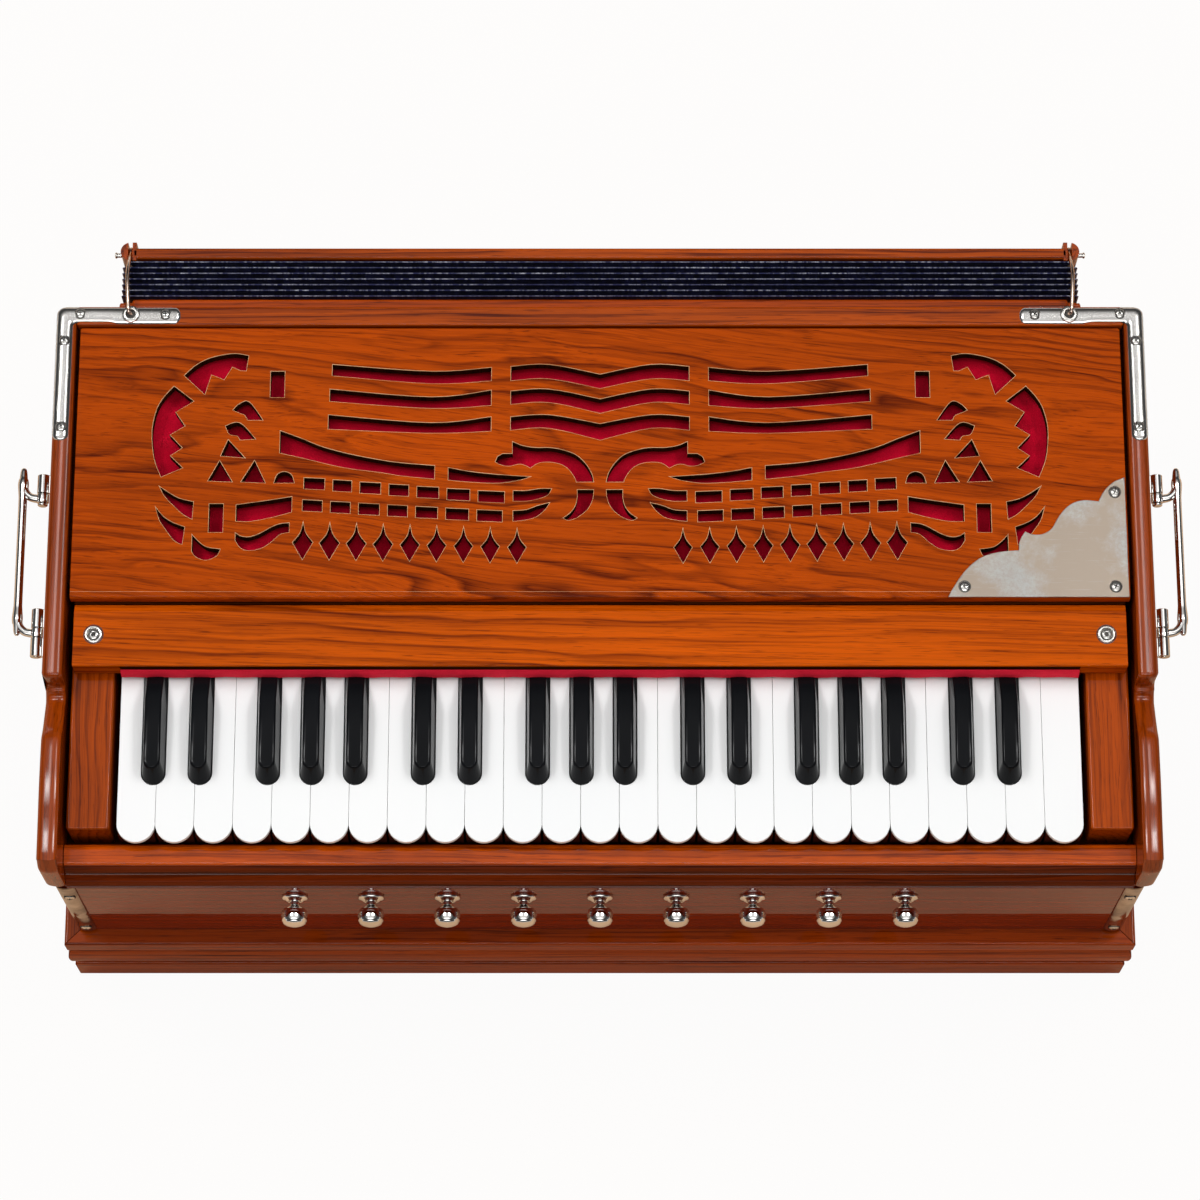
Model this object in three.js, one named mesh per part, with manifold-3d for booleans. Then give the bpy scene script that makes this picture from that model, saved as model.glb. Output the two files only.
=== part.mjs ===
// A portable Indian harmonium: a hand-pumped reed organ in a lacquered wooden case.
// Millimetres. X runs along the keyboard, Y from the player to the back, and Z is up.
// Pieces are drawn with the front panel's face at Y = 0, and the last step moves the
// whole so that the middle of its base is the origin.
import * as THREE from 'three';
import { mergeVertices } from 'three/addons/utils/BufferGeometryUtils.js';
import Module from 'manifold-3d';

const wasm = await Module();
wasm.setup();

// Fits shared by all pieces
const seatGap = 0.3;
const bite = 1;
const overrun = 2;

// Keyboard: 25 naturals from C up to F, with the sharps between them
const naturalPitch = 21.8;
const naturalCount = 25;
const noteNames = ['C', 'D', 'E', 'F', 'G', 'A', 'B'];
const sharpOffsetShares = { C: -0.09, D: 0.12, F: -0.12, G: 0.02, A: 0.15 };
const keySideGap = 0.5;
const naturalVisible = 98;
const plateThickness = 3.5;
const stemHeight = 16.5;
const stemInset = 0.4;
const plateOverhang = 4.5;
const keyDip = 8;
const dipClearance = 2;
const sharpWidth = 13.2;
const sharpTopWidth = 8.4;
const sharpSideGap = 0.8;
const sharpVisible = 64.5;
const sharpRise = 14;
const sharpFrontRise = 12;
const sharpFrontSlope = 7;
const sharpBackSlope = 15;
const sharpBackRise = 3.5;
const sharpBackGap = 3.2;
const sharpStemWidth = 11;

// Heights of the case
const plinthHeight = 81;
const frontPanelHeight = 119;
const slipHeight = 19;
const keysAboveSlip = 13;
const blockAboveKeys = 3;
const nameRailThickness = 14.7;
const fretAboveNameRail = 6;
const fretThickness = 7;
const wallAboveFret = 2;

// Depths of the case, from the front panel's face backwards
const tipSetBack = 15.4;
const slipDepth = 17.6;
const blockSetBack = 22.2;
const nameRailDepth = 37;
const nameRailGap = 1.4;
const fretDepth = 164;
const fretBackGap = 1.1;
const backRailDepth = 11.8;
const wallStepBack = 9;
const tailCover = 11;
const tailClearance = 2;
const chamberWall = 5;

// Widths of the case
const blockSideGap = 3.8;
const blockWidth = 24.2;
const armGap = 2.9;
const armThickness = 11.6;
const bodySetIn = 5;
const plinthOverhang = 9.7;
const fretSideGap = 2.5;
const chamberLedge = 11;
const chamberDepth = 6;
const nameRailSideGap = 4.6;

// Side arms
const armBelowSlip = 6;
const armBevel = 2.4;
const armNoseOverhang = 3.8;
const armNoseRadius = 12;
const armTopAboveSlip = 31;
const armHollow = 14;
const armStepRadius = 3;

// Balance rail that the keys rock on
const balanceRailWidth = 3;
const balanceSetIn = 7;

// Stop knobs and the rings that they slide in
const stopCount = 9;
const stopPitch = 44;
const stopHeight = 166;
const stopRodRadius = 3.1;
const stopRodLength = 30;
const stopRodGap = 0.3;
const stopCapRadius = 7.5;
const stopCapLength = 9;
const stopNeckLength = 6;
const stopWaistRadius = 3.6;
const ringRadius = 7.6;
const ringThickness = 3.4;

// Bellows
const bellowsFoot = 11;
const bellowsBelowTop = 5;
const innerBoardThickness = 6.6;
const bellowsFolds = 7;
const bellowsFoldPitch = 3.55;
const bellowsFoldDepth = 6;
const bellowsHalfWidth = 270.6;
const bellowsBoardLip = 3;
const outerBoardThickness = 6.8;
const lobeLength = 7.4;
const lobeThickness = 11.2;
const lobeHeight = 26;
const lobeSetBack = 1;

// Hooks that hold the bellows shut
const hookPinRadius = 1.3;
const hookPinBelowTop = 6.4;
const hookPinReach = 3.9;
const hookRingGap = 0.4;
const hookWire = 1.1;
const hookSlotGap = 0.4;
const hookOverBracket = 1.6;
const eyeRadius = 2.8;
const eyeDepth = 6;

// Corner brackets on the rear corners
const bracketThickness = 1.2;
const bracketWidth = 10.6;
const bracketAlong = 71.5;
const bracketForward = 82;
const bracketCorner = 2.5;
const bracketEndRadius = 3.4;
const bracketForwardWidth = 9.3;

// Carrying handles
const handleHeight = 160;
const handleReach = 32;
const handlePivotReach = 22.5;
const handleLegSpacing = 84;
const handleBarRadius = 2.5;
const handleTipLength = 7;
const handleTipRadius = 3.4;
const handleLegRadius = 2.4;
const handleLegSweep = 9;
const handleMiddleShare = 0.643;
const barrelRadius = 3.6;
const barrelLength = 5.6;
const barrelGap = 0.35;
const knuckleLength = 11.5;
const hingePinRadius = 1.9;
const hingePinHeadRadius = 3;
const hingePinHeadLength = 1.5;
const hingePlateThickness = 2;
const hingePlateMargin = 1.5;
const hingePlateHeight = 20;

// Sides of the round pieces
const pinSides = 10;
const holeSides = 12;
const ringSides = 12;
const knobSides = 12;
const barSides = 10;
const legSides = 8;
const hookSides = 6;

// Levels
const slipBottomZ = plinthHeight + frontPanelHeight;
const slipTopZ = slipBottomZ + slipHeight;
const keyTopZ = slipTopZ + keysAboveSlip;
const plateBottomZ = keyTopZ - plateThickness;
const stemBottomZ = plateBottomZ - stemHeight;
const bayFloorZ = stemBottomZ - keyDip - dipClearance;
const blockTopZ = keyTopZ + blockAboveKeys;
const nameRailBottomZ = blockTopZ + seatGap;
const nameRailTopZ = nameRailBottomZ + nameRailThickness;
const fretTopZ = nameRailTopZ + fretAboveNameRail;
const fretBottomZ = fretTopZ - fretThickness;
const wallTopZ = fretTopZ + wallAboveFret;
const bellowsBottomZ = plinthHeight + bellowsFoot;
const bellowsTopZ = wallTopZ - bellowsBelowTop;

// Places from front to back
const nameRailFrontY = tipSetBack + naturalVisible;
const nameRailBackY = nameRailFrontY + nameRailDepth;
const fretFrontY = nameRailBackY + nameRailGap;
const fretBackY = fretFrontY + fretDepth;
const backRailFrontY = fretBackY + fretBackGap;
const bodyDepth = backRailFrontY + backRailDepth;
const bayBackY = fretFrontY + tailCover;
const keyTailY = bayBackY - tailClearance;
const pivotY = keyTailY - balanceSetIn;
const wallStepY = nameRailFrontY - wallStepBack;
const sharpFrontY = nameRailFrontY - sharpVisible;
const stemFrontY = tipSetBack + plateOverhang;

// Places from the middle outwards
const keyboardWidth = naturalPitch * naturalCount;
const blockInnerX = keyboardWidth / 2 + blockSideGap;
const blockOuterX = blockInnerX + blockWidth;
const armInnerX = blockOuterX + armGap;
const armOuterX = armInnerX + armThickness;
const bodyHalfWidth = armOuterX - bodySetIn;
const fretHalfWidth = armInnerX - fretSideGap;

// Bellows and hook places
const innerBoardBackY = bodyDepth + innerBoardThickness;
const foldsFrontY = innerBoardBackY + seatGap;
const foldsBackY = foldsFrontY + bellowsFolds * bellowsFoldPitch;
const outerBoardFrontY = foldsBackY + seatGap;
const outerBoardBackY = outerBoardFrontY + outerBoardThickness;
const boardHalfWidth = bellowsHalfWidth + bellowsBoardLip;
const lobeMiddleY = outerBoardFrontY + outerBoardThickness / 2 + lobeSetBack;
const lobeMiddleX = boardHalfWidth + lobeLength - lobeThickness / 2 - hookWire;
const lobeBackY = lobeMiddleY + lobeThickness / 2;
const hookPinZ = bellowsTopZ - hookPinBelowTop;
const hookRingRadius = hookPinRadius + hookRingGap + 2 * hookWire;
const eyeX = bellowsHalfWidth + hookWire;
const eyeY = bodyDepth - backRailDepth / 2 + hookWire / 2;
const knobFrontY = -ringThickness - stopNeckLength - stopCapLength;

// Finishes
const finish = {
  wood: { color: 0xa8521b, roughness: 0.3, metalness: 0 },
  panelWood: { color: 0xbc6420, roughness: 0.35, metalness: 0 },
  white: { color: 0xf6f6f2, roughness: 0.25, metalness: 0 },
  black: { color: 0x101012, roughness: 0.2, metalness: 0 },
  chrome: { color: 0xd6d6d8, roughness: 0.15, metalness: 1 },
  cloth: { color: 0x12142c, roughness: 0.7, metalness: 0 },
};

// Turns a closed geometry into a solid: shared corners are merged and flat slivers dropped
function solid(geometry) {
  const plain = geometry.clone();
  plain.deleteAttribute('normal');
  plain.deleteAttribute('uv');
  const merged = mergeVertices(plain);
  const corners = merged.index.array;
  const kept = [];
  for (let i = 0; i < corners.length; i += 3) {
    const [a, b, c] = [corners[i], corners[i + 1], corners[i + 2]];
    if (a !== b && b !== c && c !== a) kept.push(a, b, c);
  }
  const vertProperties = new Float32Array(merged.attributes.position.array);
  const triVerts = new Uint32Array(kept);
  return new wasm.Manifold(new wasm.Mesh({ numProp: 3, vertProperties, triVerts }));
}

function join(pieces) {
  return pieces.reduce((whole, piece) => whole.add(piece));
}

function cut(whole, pieces) {
  return pieces.reduce((rest, piece) => rest.subtract(piece), whole);
}

// Makes the named mesh of a solid
function piece(name, body, look) {
  const mesh = body.getMesh();
  const geometry = new THREE.BufferGeometry();
  geometry.setAttribute('position', new THREE.BufferAttribute(mesh.vertProperties, 3));
  geometry.setIndex(new THREE.BufferAttribute(mesh.triVerts, 1));
  geometry.computeVertexNormals();
  const made = new THREE.Mesh(geometry, new THREE.MeshStandardMaterial(look));
  made.name = name;
  return made;
}

// A block between two corners
function block(x0, x1, y0, y1, z0, z1) {
  const geometry = new THREE.BoxGeometry(x1 - x0, y1 - y0, z1 - z0);
  geometry.translate((x0 + x1) / 2, (y0 + y1) / 2, (z0 + z1) / 2);
  return solid(geometry);
}

// A plan outline in X and Y, raised from z0 to z1
function raise(shape, z0, z1, curveSegments = 6) {
  const geometry = new THREE.ExtrudeGeometry(shape, { depth: z1 - z0, bevelEnabled: false, curveSegments });
  geometry.translate(0, 0, z0);
  return solid(geometry);
}

// A side outline in Y and Z, run from x0 to x1, with its long edges rounded by a bevel
function runAcross(shape, x0, x1, bevel = 0, curveSegments = 4) {
  const options = { depth: x1 - x0 - 2 * bevel, curveSegments, bevelEnabled: bevel > 0 };
  Object.assign(options, { bevelSize: bevel, bevelThickness: bevel, bevelOffset: -bevel, bevelSegments: 2 });
  const geometry = new THREE.ExtrudeGeometry(shape, options);
  geometry.translate(0, 0, bevel);
  const axes = [new THREE.Vector3(0, 1, 0), new THREE.Vector3(0, 0, 1), new THREE.Vector3(1, 0, 0)];
  geometry.applyMatrix4(new THREE.Matrix4().makeBasis(...axes));
  geometry.translate(x0, 0, 0);
  return solid(geometry);
}

// A turned piece: its profile is a list of [radius, distance] along the axis given
function turn(profile, axis, middle, steps) {
  const points = profile.map(([radius, along]) => new THREE.Vector2(radius, along));
  const geometry = new THREE.LatheGeometry(points, steps);
  const up = new THREE.Vector3(0, 1, 0);
  geometry.applyQuaternion(new THREE.Quaternion().setFromUnitVectors(up, axis));
  geometry.translate(middle.x, middle.y, middle.z);
  return solid(geometry);
}

// A round rod of one radius along the axis
function rod(radius, axis, start, length, steps) {
  return turn([[0, 0], [radius, 0], [radius, length], [0, length]], axis, start, steps);
}

// A round bar along a curve
function wire(points, radius, sides, steps) {
  const section = new THREE.Shape();
  for (let i = 0; i < sides; i += 1) {
    const angle = (i / sides) * 2 * Math.PI;
    const corner = [radius * Math.cos(angle), radius * Math.sin(angle)];
    if (i === 0) section.moveTo(...corner);
    else section.lineTo(...corner);
  }
  const extrudePath = new THREE.CatmullRomCurve3(points);
  return solid(new THREE.ExtrudeGeometry(section, { steps, extrudePath, bevelEnabled: false }));
}

// Skins rings of equal counts of points, listed upwards and each turning left seen from above.
// The first and last rings are closed by strips between their two mirrored sides.
function loft(rings) {
  const count = rings[0].length;
  const index = [];
  for (let r = 0; r + 1 < rings.length; r += 1) {
    for (let i = 0; i < count; i += 1) {
      const a = r * count + i;
      const b = r * count + ((i + 1) % count);
      index.push(a, b, b + count, a, b + count, a + count);
    }
  }
  const last = (rings.length - 1) * count;
  for (let i = 0; i + 1 < count / 2; i += 1) {
    const [a, b, c, d] = [i, i + 1, count - 2 - i, count - 1 - i];
    index.push(a, c, b, a, d, c);
    index.push(last + a, last + b, last + c, last + a, last + c, last + d);
  }
  const geometry = new THREE.BufferGeometry();
  geometry.setAttribute('position', new THREE.Float32BufferAttribute(rings.flat(2), 3));
  geometry.setIndex(index);
  return solid(geometry);
}

function shapeOf(points) {
  return new THREE.Shape(points.map(([a, b]) => new THREE.Vector2(a, b)));
}

const alongX = new THREE.Vector3(1, 0, 0);
const alongY = new THREE.Vector3(0, 1, 0);
const alongZ = new THREE.Vector3(0, 0, 1);

// Where the sharp on the right of a natural stands, if it has one
function sharpAfter(index) {
  const share = sharpOffsetShares[noteNames[index % noteNames.length]];
  if (share === undefined || index + 1 >= naturalCount) return undefined;
  return -keyboardWidth / 2 + (index + 1 + share) * naturalPitch;
}

// The sides of a natural, full in front and drawn in beside each sharp
function naturalSides(index, inset) {
  const left = -keyboardWidth / 2 + index * naturalPitch + keySideGap / 2 + inset;
  const right = left + naturalPitch - keySideGap - 2 * inset;
  const sharpHalf = sharpWidth / 2 + sharpSideGap + inset;
  const before = index > 0 ? sharpAfter(index - 1) : undefined;
  const after = sharpAfter(index);
  const backLeft = before === undefined ? left : before + sharpHalf;
  const backRight = after === undefined ? right : after - sharpHalf;
  return { left, right, backLeft, backRight };
}

// The plan of a natural from its front edge to its tail
function naturalPlan(index, inset, frontY, round) {
  const { left, right, backLeft, backRight } = naturalSides(index, inset);
  const notchY = sharpFrontY - sharpSideGap - inset;
  const shape = new THREE.Shape();
  shape.moveTo(backLeft, keyTailY);
  shape.lineTo(backRight, keyTailY);
  if (backRight < right) {
    shape.lineTo(backRight, notchY);
    shape.lineTo(right, notchY);
  }
  if (round) {
    const radius = (right - left) / 2;
    shape.lineTo(right, frontY + radius);
    shape.absarc(left + radius, frontY + radius, radius, 0, -Math.PI, true);
  } else {
    shape.lineTo(right, frontY);
    shape.lineTo(left, frontY);
  }
  if (backLeft > left) {
    shape.lineTo(left, notchY);
    shape.lineTo(backLeft, notchY);
  }
  return shape;
}

// A natural key: a white plate with a round front, on a wooden stem
function naturalKey(index) {
  const plate = raise(naturalPlan(index, 0, tipSetBack, true), plateBottomZ, keyTopZ, 5);
  const stem = raise(naturalPlan(index, stemInset, stemFrontY, false), stemBottomZ, plateBottomZ + bite);
  const number = String(index + 1).padStart(2, '0');
  return piece(`natural_${number}`, plate.add(stem), finish.white);
}

// One level of a sharp's cap: straight sides, a crease near the back and a round front
function sharpRing(halfWidth, frontY, levels) {
  const backY = nameRailFrontY - sharpBackGap;
  const creaseY = backY - sharpBackSlope;
  const arcSteps = 6;
  const ring = [[-halfWidth, backY, levels.back], [-halfWidth, creaseY, levels.crease]];
  for (let i = 0; i < arcSteps; i += 1) {
    const angle = Math.PI + ((i + 1 / 2) * Math.PI) / arcSteps;
    const x = halfWidth * Math.cos(angle);
    const y = frontY + halfWidth + halfWidth * Math.sin(angle);
    ring.push([x, y, levels.front]);
  }
  ring.push([halfWidth, creaseY, levels.crease], [halfWidth, backY, levels.back]);
  return ring;
}

// A sharp key: a black cap with sloping sides, on a wooden stem
function sharpKey(middleX, number) {
  const base = { back: plateBottomZ, crease: plateBottomZ, front: plateBottomZ };
  const shoulder = { back: keyTopZ, crease: keyTopZ, front: keyTopZ };
  const top = { back: keyTopZ + sharpBackRise, crease: keyTopZ + sharpRise, front: keyTopZ + sharpFrontRise };
  const cap = loft([
    sharpRing(sharpWidth / 2, sharpFrontY, base),
    sharpRing(sharpWidth / 2, sharpFrontY, shoulder),
    sharpRing(sharpTopWidth / 2, sharpFrontY + sharpFrontSlope, top),
  ]);
  const half = sharpStemWidth / 2;
  const stem = block(-half, half, sharpFrontY + bite, keyTailY, stemBottomZ, plateBottomZ + bite);
  const name = `sharp_${String(number).padStart(2, '0')}`;
  return piece(name, cap.add(stem).translate(middleX, 0, 0), finish.black);
}

// The plinth's moulding and the body above it, as levels with how far each stands out.
// The plinth has a square band over a bold roll over a rounded foot, with a groove between.
function bodyBlock() {
  const [bandShare, rollShare, footShare, grooveShare] = [0.185, 0.346, 0.345, 0.062];
  const grooveIn = 3;
  const footRound = 2.4;
  const rollOut = 1.2;
  const levels = [];
  const put = (z, out) => levels.push([z, out]);
  const footTop = footShare * plinthHeight;
  const rollBottom = footTop + grooveShare * plinthHeight;
  const rollHeight = rollShare * plinthHeight;
  const bandBottom = (1 - bandShare) * plinthHeight;
  put(0, plinthOverhang - footRound);
  put(footRound, plinthOverhang);
  put(footTop - footRound, plinthOverhang);
  put(footTop, plinthOverhang - footRound);
  put(footTop, plinthOverhang - grooveIn);
  put(rollBottom, plinthOverhang - grooveIn);
  const rollSteps = 5;
  for (let i = 0; i <= rollSteps; i += 1) {
    const angle = (i / rollSteps) * Math.PI;
    const out = plinthOverhang - footRound + (footRound + rollOut) * Math.sin(angle);
    put(rollBottom + (rollHeight * (1 - Math.cos(angle))) / 2, out);
  }
  put(rollBottom + rollHeight, plinthOverhang - grooveIn);
  put(bandBottom, plinthOverhang - grooveIn);
  put(bandBottom, plinthOverhang);
  put(plinthHeight, plinthOverhang);
  put(plinthHeight, 0);
  put(bayFloorZ, 0);
  const rings = levels.map(([z, out]) => {
    const x = bodyHalfWidth + out;
    return [[-x, bodyDepth + out, z], [-x, -out, z], [x, -out, z], [x, bodyDepth + out, z]];
  });
  return loft(rings);
}

// The key slip's moulding: a flat top, a rounded edge and two sloping fillets
function slipMoulding() {
  const overhang = 3.9;
  const [edgeShare, firstShare, grooveShare, secondShare] = [0.48, 0.3, 0.13, 0.05];
  const [firstDropShare, grooveDropShare, secondDropShare] = [0.4, 0.46, 0.76];
  const groove = 0.8;
  const profile = new THREE.Shape();
  profile.moveTo(slipDepth, bayFloorZ - bite);
  profile.lineTo(slipDepth, slipTopZ);
  profile.lineTo(slipDepth * edgeShare, slipTopZ);
  profile.quadraticCurveTo(slipDepth * firstShare, slipTopZ, slipDepth * firstShare, slipTopZ - overhang / 2);
  profile.lineTo(slipDepth * grooveShare, slipTopZ - slipHeight * firstDropShare);
  profile.lineTo(slipDepth * grooveShare + groove, slipTopZ - slipHeight * grooveDropShare);
  profile.lineTo(slipDepth * secondShare, slipTopZ - slipHeight * grooveDropShare - groove);
  profile.lineTo(-overhang + groove, slipTopZ - slipHeight * secondDropShare);
  profile.lineTo(-overhang, slipTopZ - slipHeight * secondDropShare - groove);
  profile.lineTo(-overhang, slipBottomZ + groove);
  profile.lineTo(-overhang + groove, slipBottomZ);
  profile.lineTo(bite, slipBottomZ);
  profile.lineTo(bite, bayFloorZ - bite);
  return runAcross(profile, -armInnerX - bite, armInnerX + bite);
}

// A side wall and its arm in one board: high behind, a hollow at the step, then a long swell
// and a round nose. The swell's places are shares of the arm's length and of the hollow's depth.
function sideArm(side) {
  const bottomZ = slipBottomZ - armBelowSlip;
  const armTopZ = slipTopZ + armTopAboveSlip;
  const noseY = -armNoseOverhang;
  const swellShares = [
    [0.93, 1],
    [0.785, 0.5],
    [0.62, 0.04],
    [0.43, 0],
    [0.24, 0.14],
    [0.1, 0.04],
    [0.01, 0.2],
  ];
  const swell = swellShares.map(([along, down]) => {
    return new THREE.Vector2(wallStepY * along, armTopZ - armHollow * down);
  });
  const profile = new THREE.Shape();
  profile.moveTo(bodyDepth, bottomZ);
  profile.lineTo(bodyDepth, wallTopZ);
  profile.lineTo(wallStepY + armStepRadius, wallTopZ);
  profile.lineTo(wallStepY, wallTopZ - armStepRadius);
  profile.lineTo(wallStepY, armTopZ - armHollow + armStepRadius);
  profile.splineThru(swell);
  profile.lineTo(noseY, armTopZ - armNoseRadius);
  profile.lineTo(noseY, bottomZ + armNoseRadius);
  const [roundY, roundZ] = [noseY + armNoseRadius, bottomZ + armNoseRadius];
  profile.absarc(roundY, roundZ, armNoseRadius, Math.PI, 1.5 * Math.PI, false);
  const board = runAcross(profile, armInnerX, armOuterX, armBevel, 3);
  return side > 0 ? board : board.mirror([1, 0, 0]);
}

// The two wooden blocks that close the keyboard's ends
function keyBlock(side) {
  const round = 2;
  const profile = shapeOf([
    [blockSetBack, bayFloorZ - bite],
    [bayBackY + bite, bayFloorZ - bite],
    [bayBackY + bite, blockTopZ],
    [blockSetBack + round, blockTopZ],
    [blockSetBack, blockTopZ - round],
  ]);
  const made = runAcross(profile, blockInnerX, blockOuterX);
  return side > 0 ? made : made.mirror([1, 0, 0]);
}

// An L-shaped metal bracket on a rear corner's top, its long arm rounded off at the end
function cornerBracket(side) {
  const outerX = armOuterX - bracketThickness / 2;
  const backY = bodyDepth - bracketThickness / 2;
  const innerX = outerX - bracketForwardWidth;
  const frontY = backY - bracketWidth;
  const shape = new THREE.Shape();
  shape.moveTo(outerX, backY - bracketCorner);
  shape.lineTo(outerX - bracketCorner, backY);
  const endX = outerX - bracketAlong + bracketEndRadius;
  shape.lineTo(endX, backY);
  shape.absarc(endX, backY - bracketEndRadius, bracketEndRadius, Math.PI / 2, Math.PI, false);
  shape.absarc(endX, frontY + bracketEndRadius, bracketEndRadius, Math.PI, 1.5 * Math.PI, false);
  shape.lineTo(innerX, frontY);
  shape.lineTo(innerX, backY - bracketForward + bracketCorner);
  shape.lineTo(innerX + bracketCorner, backY - bracketForward);
  shape.lineTo(outerX - bracketCorner, backY - bracketForward);
  shape.lineTo(outerX, backY - bracketForward + bracketCorner);
  const plate = raise(shape, wallTopZ - bite, wallTopZ + bracketThickness, 4);
  return side > 0 ? plate : plate.mirror([1, 0, 0]);
}

// Where a handle's two legs meet its bar, from front to back
function handleLegYs() {
  const middle = bodyDepth * handleMiddleShare;
  return [middle - handleLegSpacing / 2, middle + handleLegSpacing / 2];
}

// A handle's two hinges on the case, in front of the legs' roots by the legs' sweep.
// Each has a plate, a pin through the leg's eye and a long knuckle behind the eye. The front
// one has a second knuckle before the eye, and the rear one's pin has a head there.
function handleHinges(side) {
  const pivotX = bodyHalfWidth + handlePivotReach;
  const plateX = bodyHalfWidth + hingePlateThickness;
  const half = barrelLength / 2 + barrelGap;
  const reach = half + knuckleLength;
  const bottomZ = handleHeight - hingePlateHeight / 2;
  const topZ = handleHeight + hingePlateHeight / 2;
  const parts = [];
  handleLegYs().forEach((legY, i) => {
    const y = legY - handleLegSweep;
    const plateReach = reach + hingePlateMargin;
    parts.push(block(bodyHalfWidth - bite, plateX, y - plateReach, y + plateReach, bottomZ, topZ));
    const knuckleStarts = i === 0 ? [y - reach, y + half] : [y + half];
    for (const start of knuckleStarts) {
      const ear = new THREE.Shape();
      ear.moveTo(plateX - bite, bottomZ + bite);
      ear.lineTo(pivotX, handleHeight - barrelRadius);
      ear.absarc(pivotX, handleHeight, barrelRadius, -Math.PI / 2, Math.PI / 2, false);
      ear.lineTo(plateX - bite, topZ - bite);
      const options = { depth: knuckleLength, bevelEnabled: false, curveSegments: 4 };
      const geometry = new THREE.ExtrudeGeometry(ear, options);
      geometry.rotateX(Math.PI / 2);
      geometry.translate(0, start + knuckleLength, 0);
      parts.push(solid(geometry));
    }
    const headLength = i === 0 ? bite : hingePinHeadLength;
    const pinStart = new THREE.Vector3(pivotX, y - half - headLength, handleHeight);
    parts.push(rod(hingePinRadius, alongY, pinStart, 2 * half + headLength + bite, pinSides));
    if (i > 0) parts.push(rod(hingePinHeadRadius, alongY, pinStart, headLength, pinSides));
  });
  const made = join(parts);
  return side > 0 ? made : made.mirror([1, 0, 0]);
}

// Where each stop stands
function stopXs() {
  return Array.from({ length: stopCount }, (_, i) => (i - (stopCount - 1) / 2) * stopPitch);
}

// The metal ring round a stop's rod
function stopRing(x) {
  const shoulderShare = 0.62;
  const profile = [
    [0, -bite],
    [ringRadius, -bite],
    [ringRadius, ringThickness / 2],
    [ringRadius * shoulderShare, ringThickness],
    [0, ringThickness],
  ];
  return turn(profile, alongY.clone().negate(), new THREE.Vector3(x, 0, stopHeight), ringSides);
}

// The case: plinth and body, slip, arms, key blocks, balance rail, sound chamber and fittings
function harmoniumCase() {
  const innerX = armInnerX + bite;
  const chamberFrontY = bayBackY + chamberWall;
  const chamberBackY = fretBackY - chamberLedge / 2;
  const chamberX = fretHalfWidth - chamberLedge;
  const fretSeatZ = fretBottomZ - seatGap;
  const parts = [
    bodyBlock(),
    slipMoulding(),
    block(-innerX, innerX, bayBackY, bodyDepth, bayFloorZ - bite, fretSeatZ),
    block(-innerX, innerX, backRailFrontY, bodyDepth, fretSeatZ - bite, wallTopZ),
    block(
      -blockInnerX - bite,
      blockInnerX + bite,
      pivotY - balanceRailWidth / 2,
      pivotY + balanceRailWidth / 2,
      bayFloorZ - bite,
      stemBottomZ - seatGap,
    ),
    block(
      -boardHalfWidth + bellowsBoardLip / 2,
      boardHalfWidth - bellowsBoardLip / 2,
      bodyDepth - bite,
      innerBoardBackY,
      bellowsBottomZ,
      bellowsTopZ,
    ),
  ];
  for (const side of [-1, 1]) {
    parts.push(sideArm(side), keyBlock(side), cornerBracket(side), handleHinges(side));
  }
  for (const x of stopXs()) parts.push(stopRing(x));
  const cuts = [
    block(-chamberX, chamberX, chamberFrontY, chamberBackY, fretSeatZ - chamberDepth, wallTopZ + overrun),
  ];
  for (const side of [-1, 1]) {
    const eyeStart = new THREE.Vector3(side * eyeX, eyeY, wallTopZ - eyeDepth);
    cuts.push(rod(eyeRadius, alongZ, eyeStart, eyeDepth + bracketThickness + overrun, pinSides));
  }
  for (const x of stopXs()) {
    const holeStart = new THREE.Vector3(x, -ringThickness - overrun, stopHeight);
    const length = overrun + ringThickness + stopRodLength + bite;
    cuts.push(rod(stopRodRadius + stopRodGap, alongY, holeStart, length, holeSides));
  }
  return piece('case', cut(join(parts), cuts), finish.wood);
}

// A stop: a rod in the front panel, a waisted neck and a domed cap
function stopKnob(x, number) {
  const neckStart = ringThickness;
  const capStart = neckStart + stopNeckLength;
  const capEnd = capStart + stopCapLength;
  const rim = stopCapLength / 4;
  const domeShare = 0.55;
  const profile = [
    [0, -stopRodLength],
    [stopRodRadius, -stopRodLength],
    [stopRodRadius, neckStart + seatGap],
    [stopWaistRadius, capStart - rim],
    [stopCapRadius - rim, capStart],
    [stopCapRadius, capStart + rim],
    [stopCapRadius, capEnd - rim],
    [stopCapRadius * domeShare, capEnd],
    [0, capEnd],
  ];
  const body = turn(profile, alongY.clone().negate(), new THREE.Vector3(x, 0, stopHeight), knobSides);
  return piece(`stop_${number}`, body, finish.chrome);
}

// The name rail over the keys: a board with a bevelled back edge and an eased front edge
function nameRail() {
  const backBevel = 4.5;
  const backDrop = 2;
  const ease = 1.2;
  const profile = shapeOf([
    [nameRailFrontY, nameRailBottomZ],
    [nameRailBackY, nameRailBottomZ],
    [nameRailBackY, nameRailTopZ - backDrop],
    [nameRailBackY - backBevel, nameRailTopZ],
    [nameRailFrontY + ease, nameRailTopZ],
    [nameRailFrontY, nameRailTopZ - ease],
  ]);
  const halfWidth = armInnerX - nameRailSideGap;
  return piece('name_rail', runAcross(profile, -halfWidth, halfWidth), finish.panelWood);
}

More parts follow.
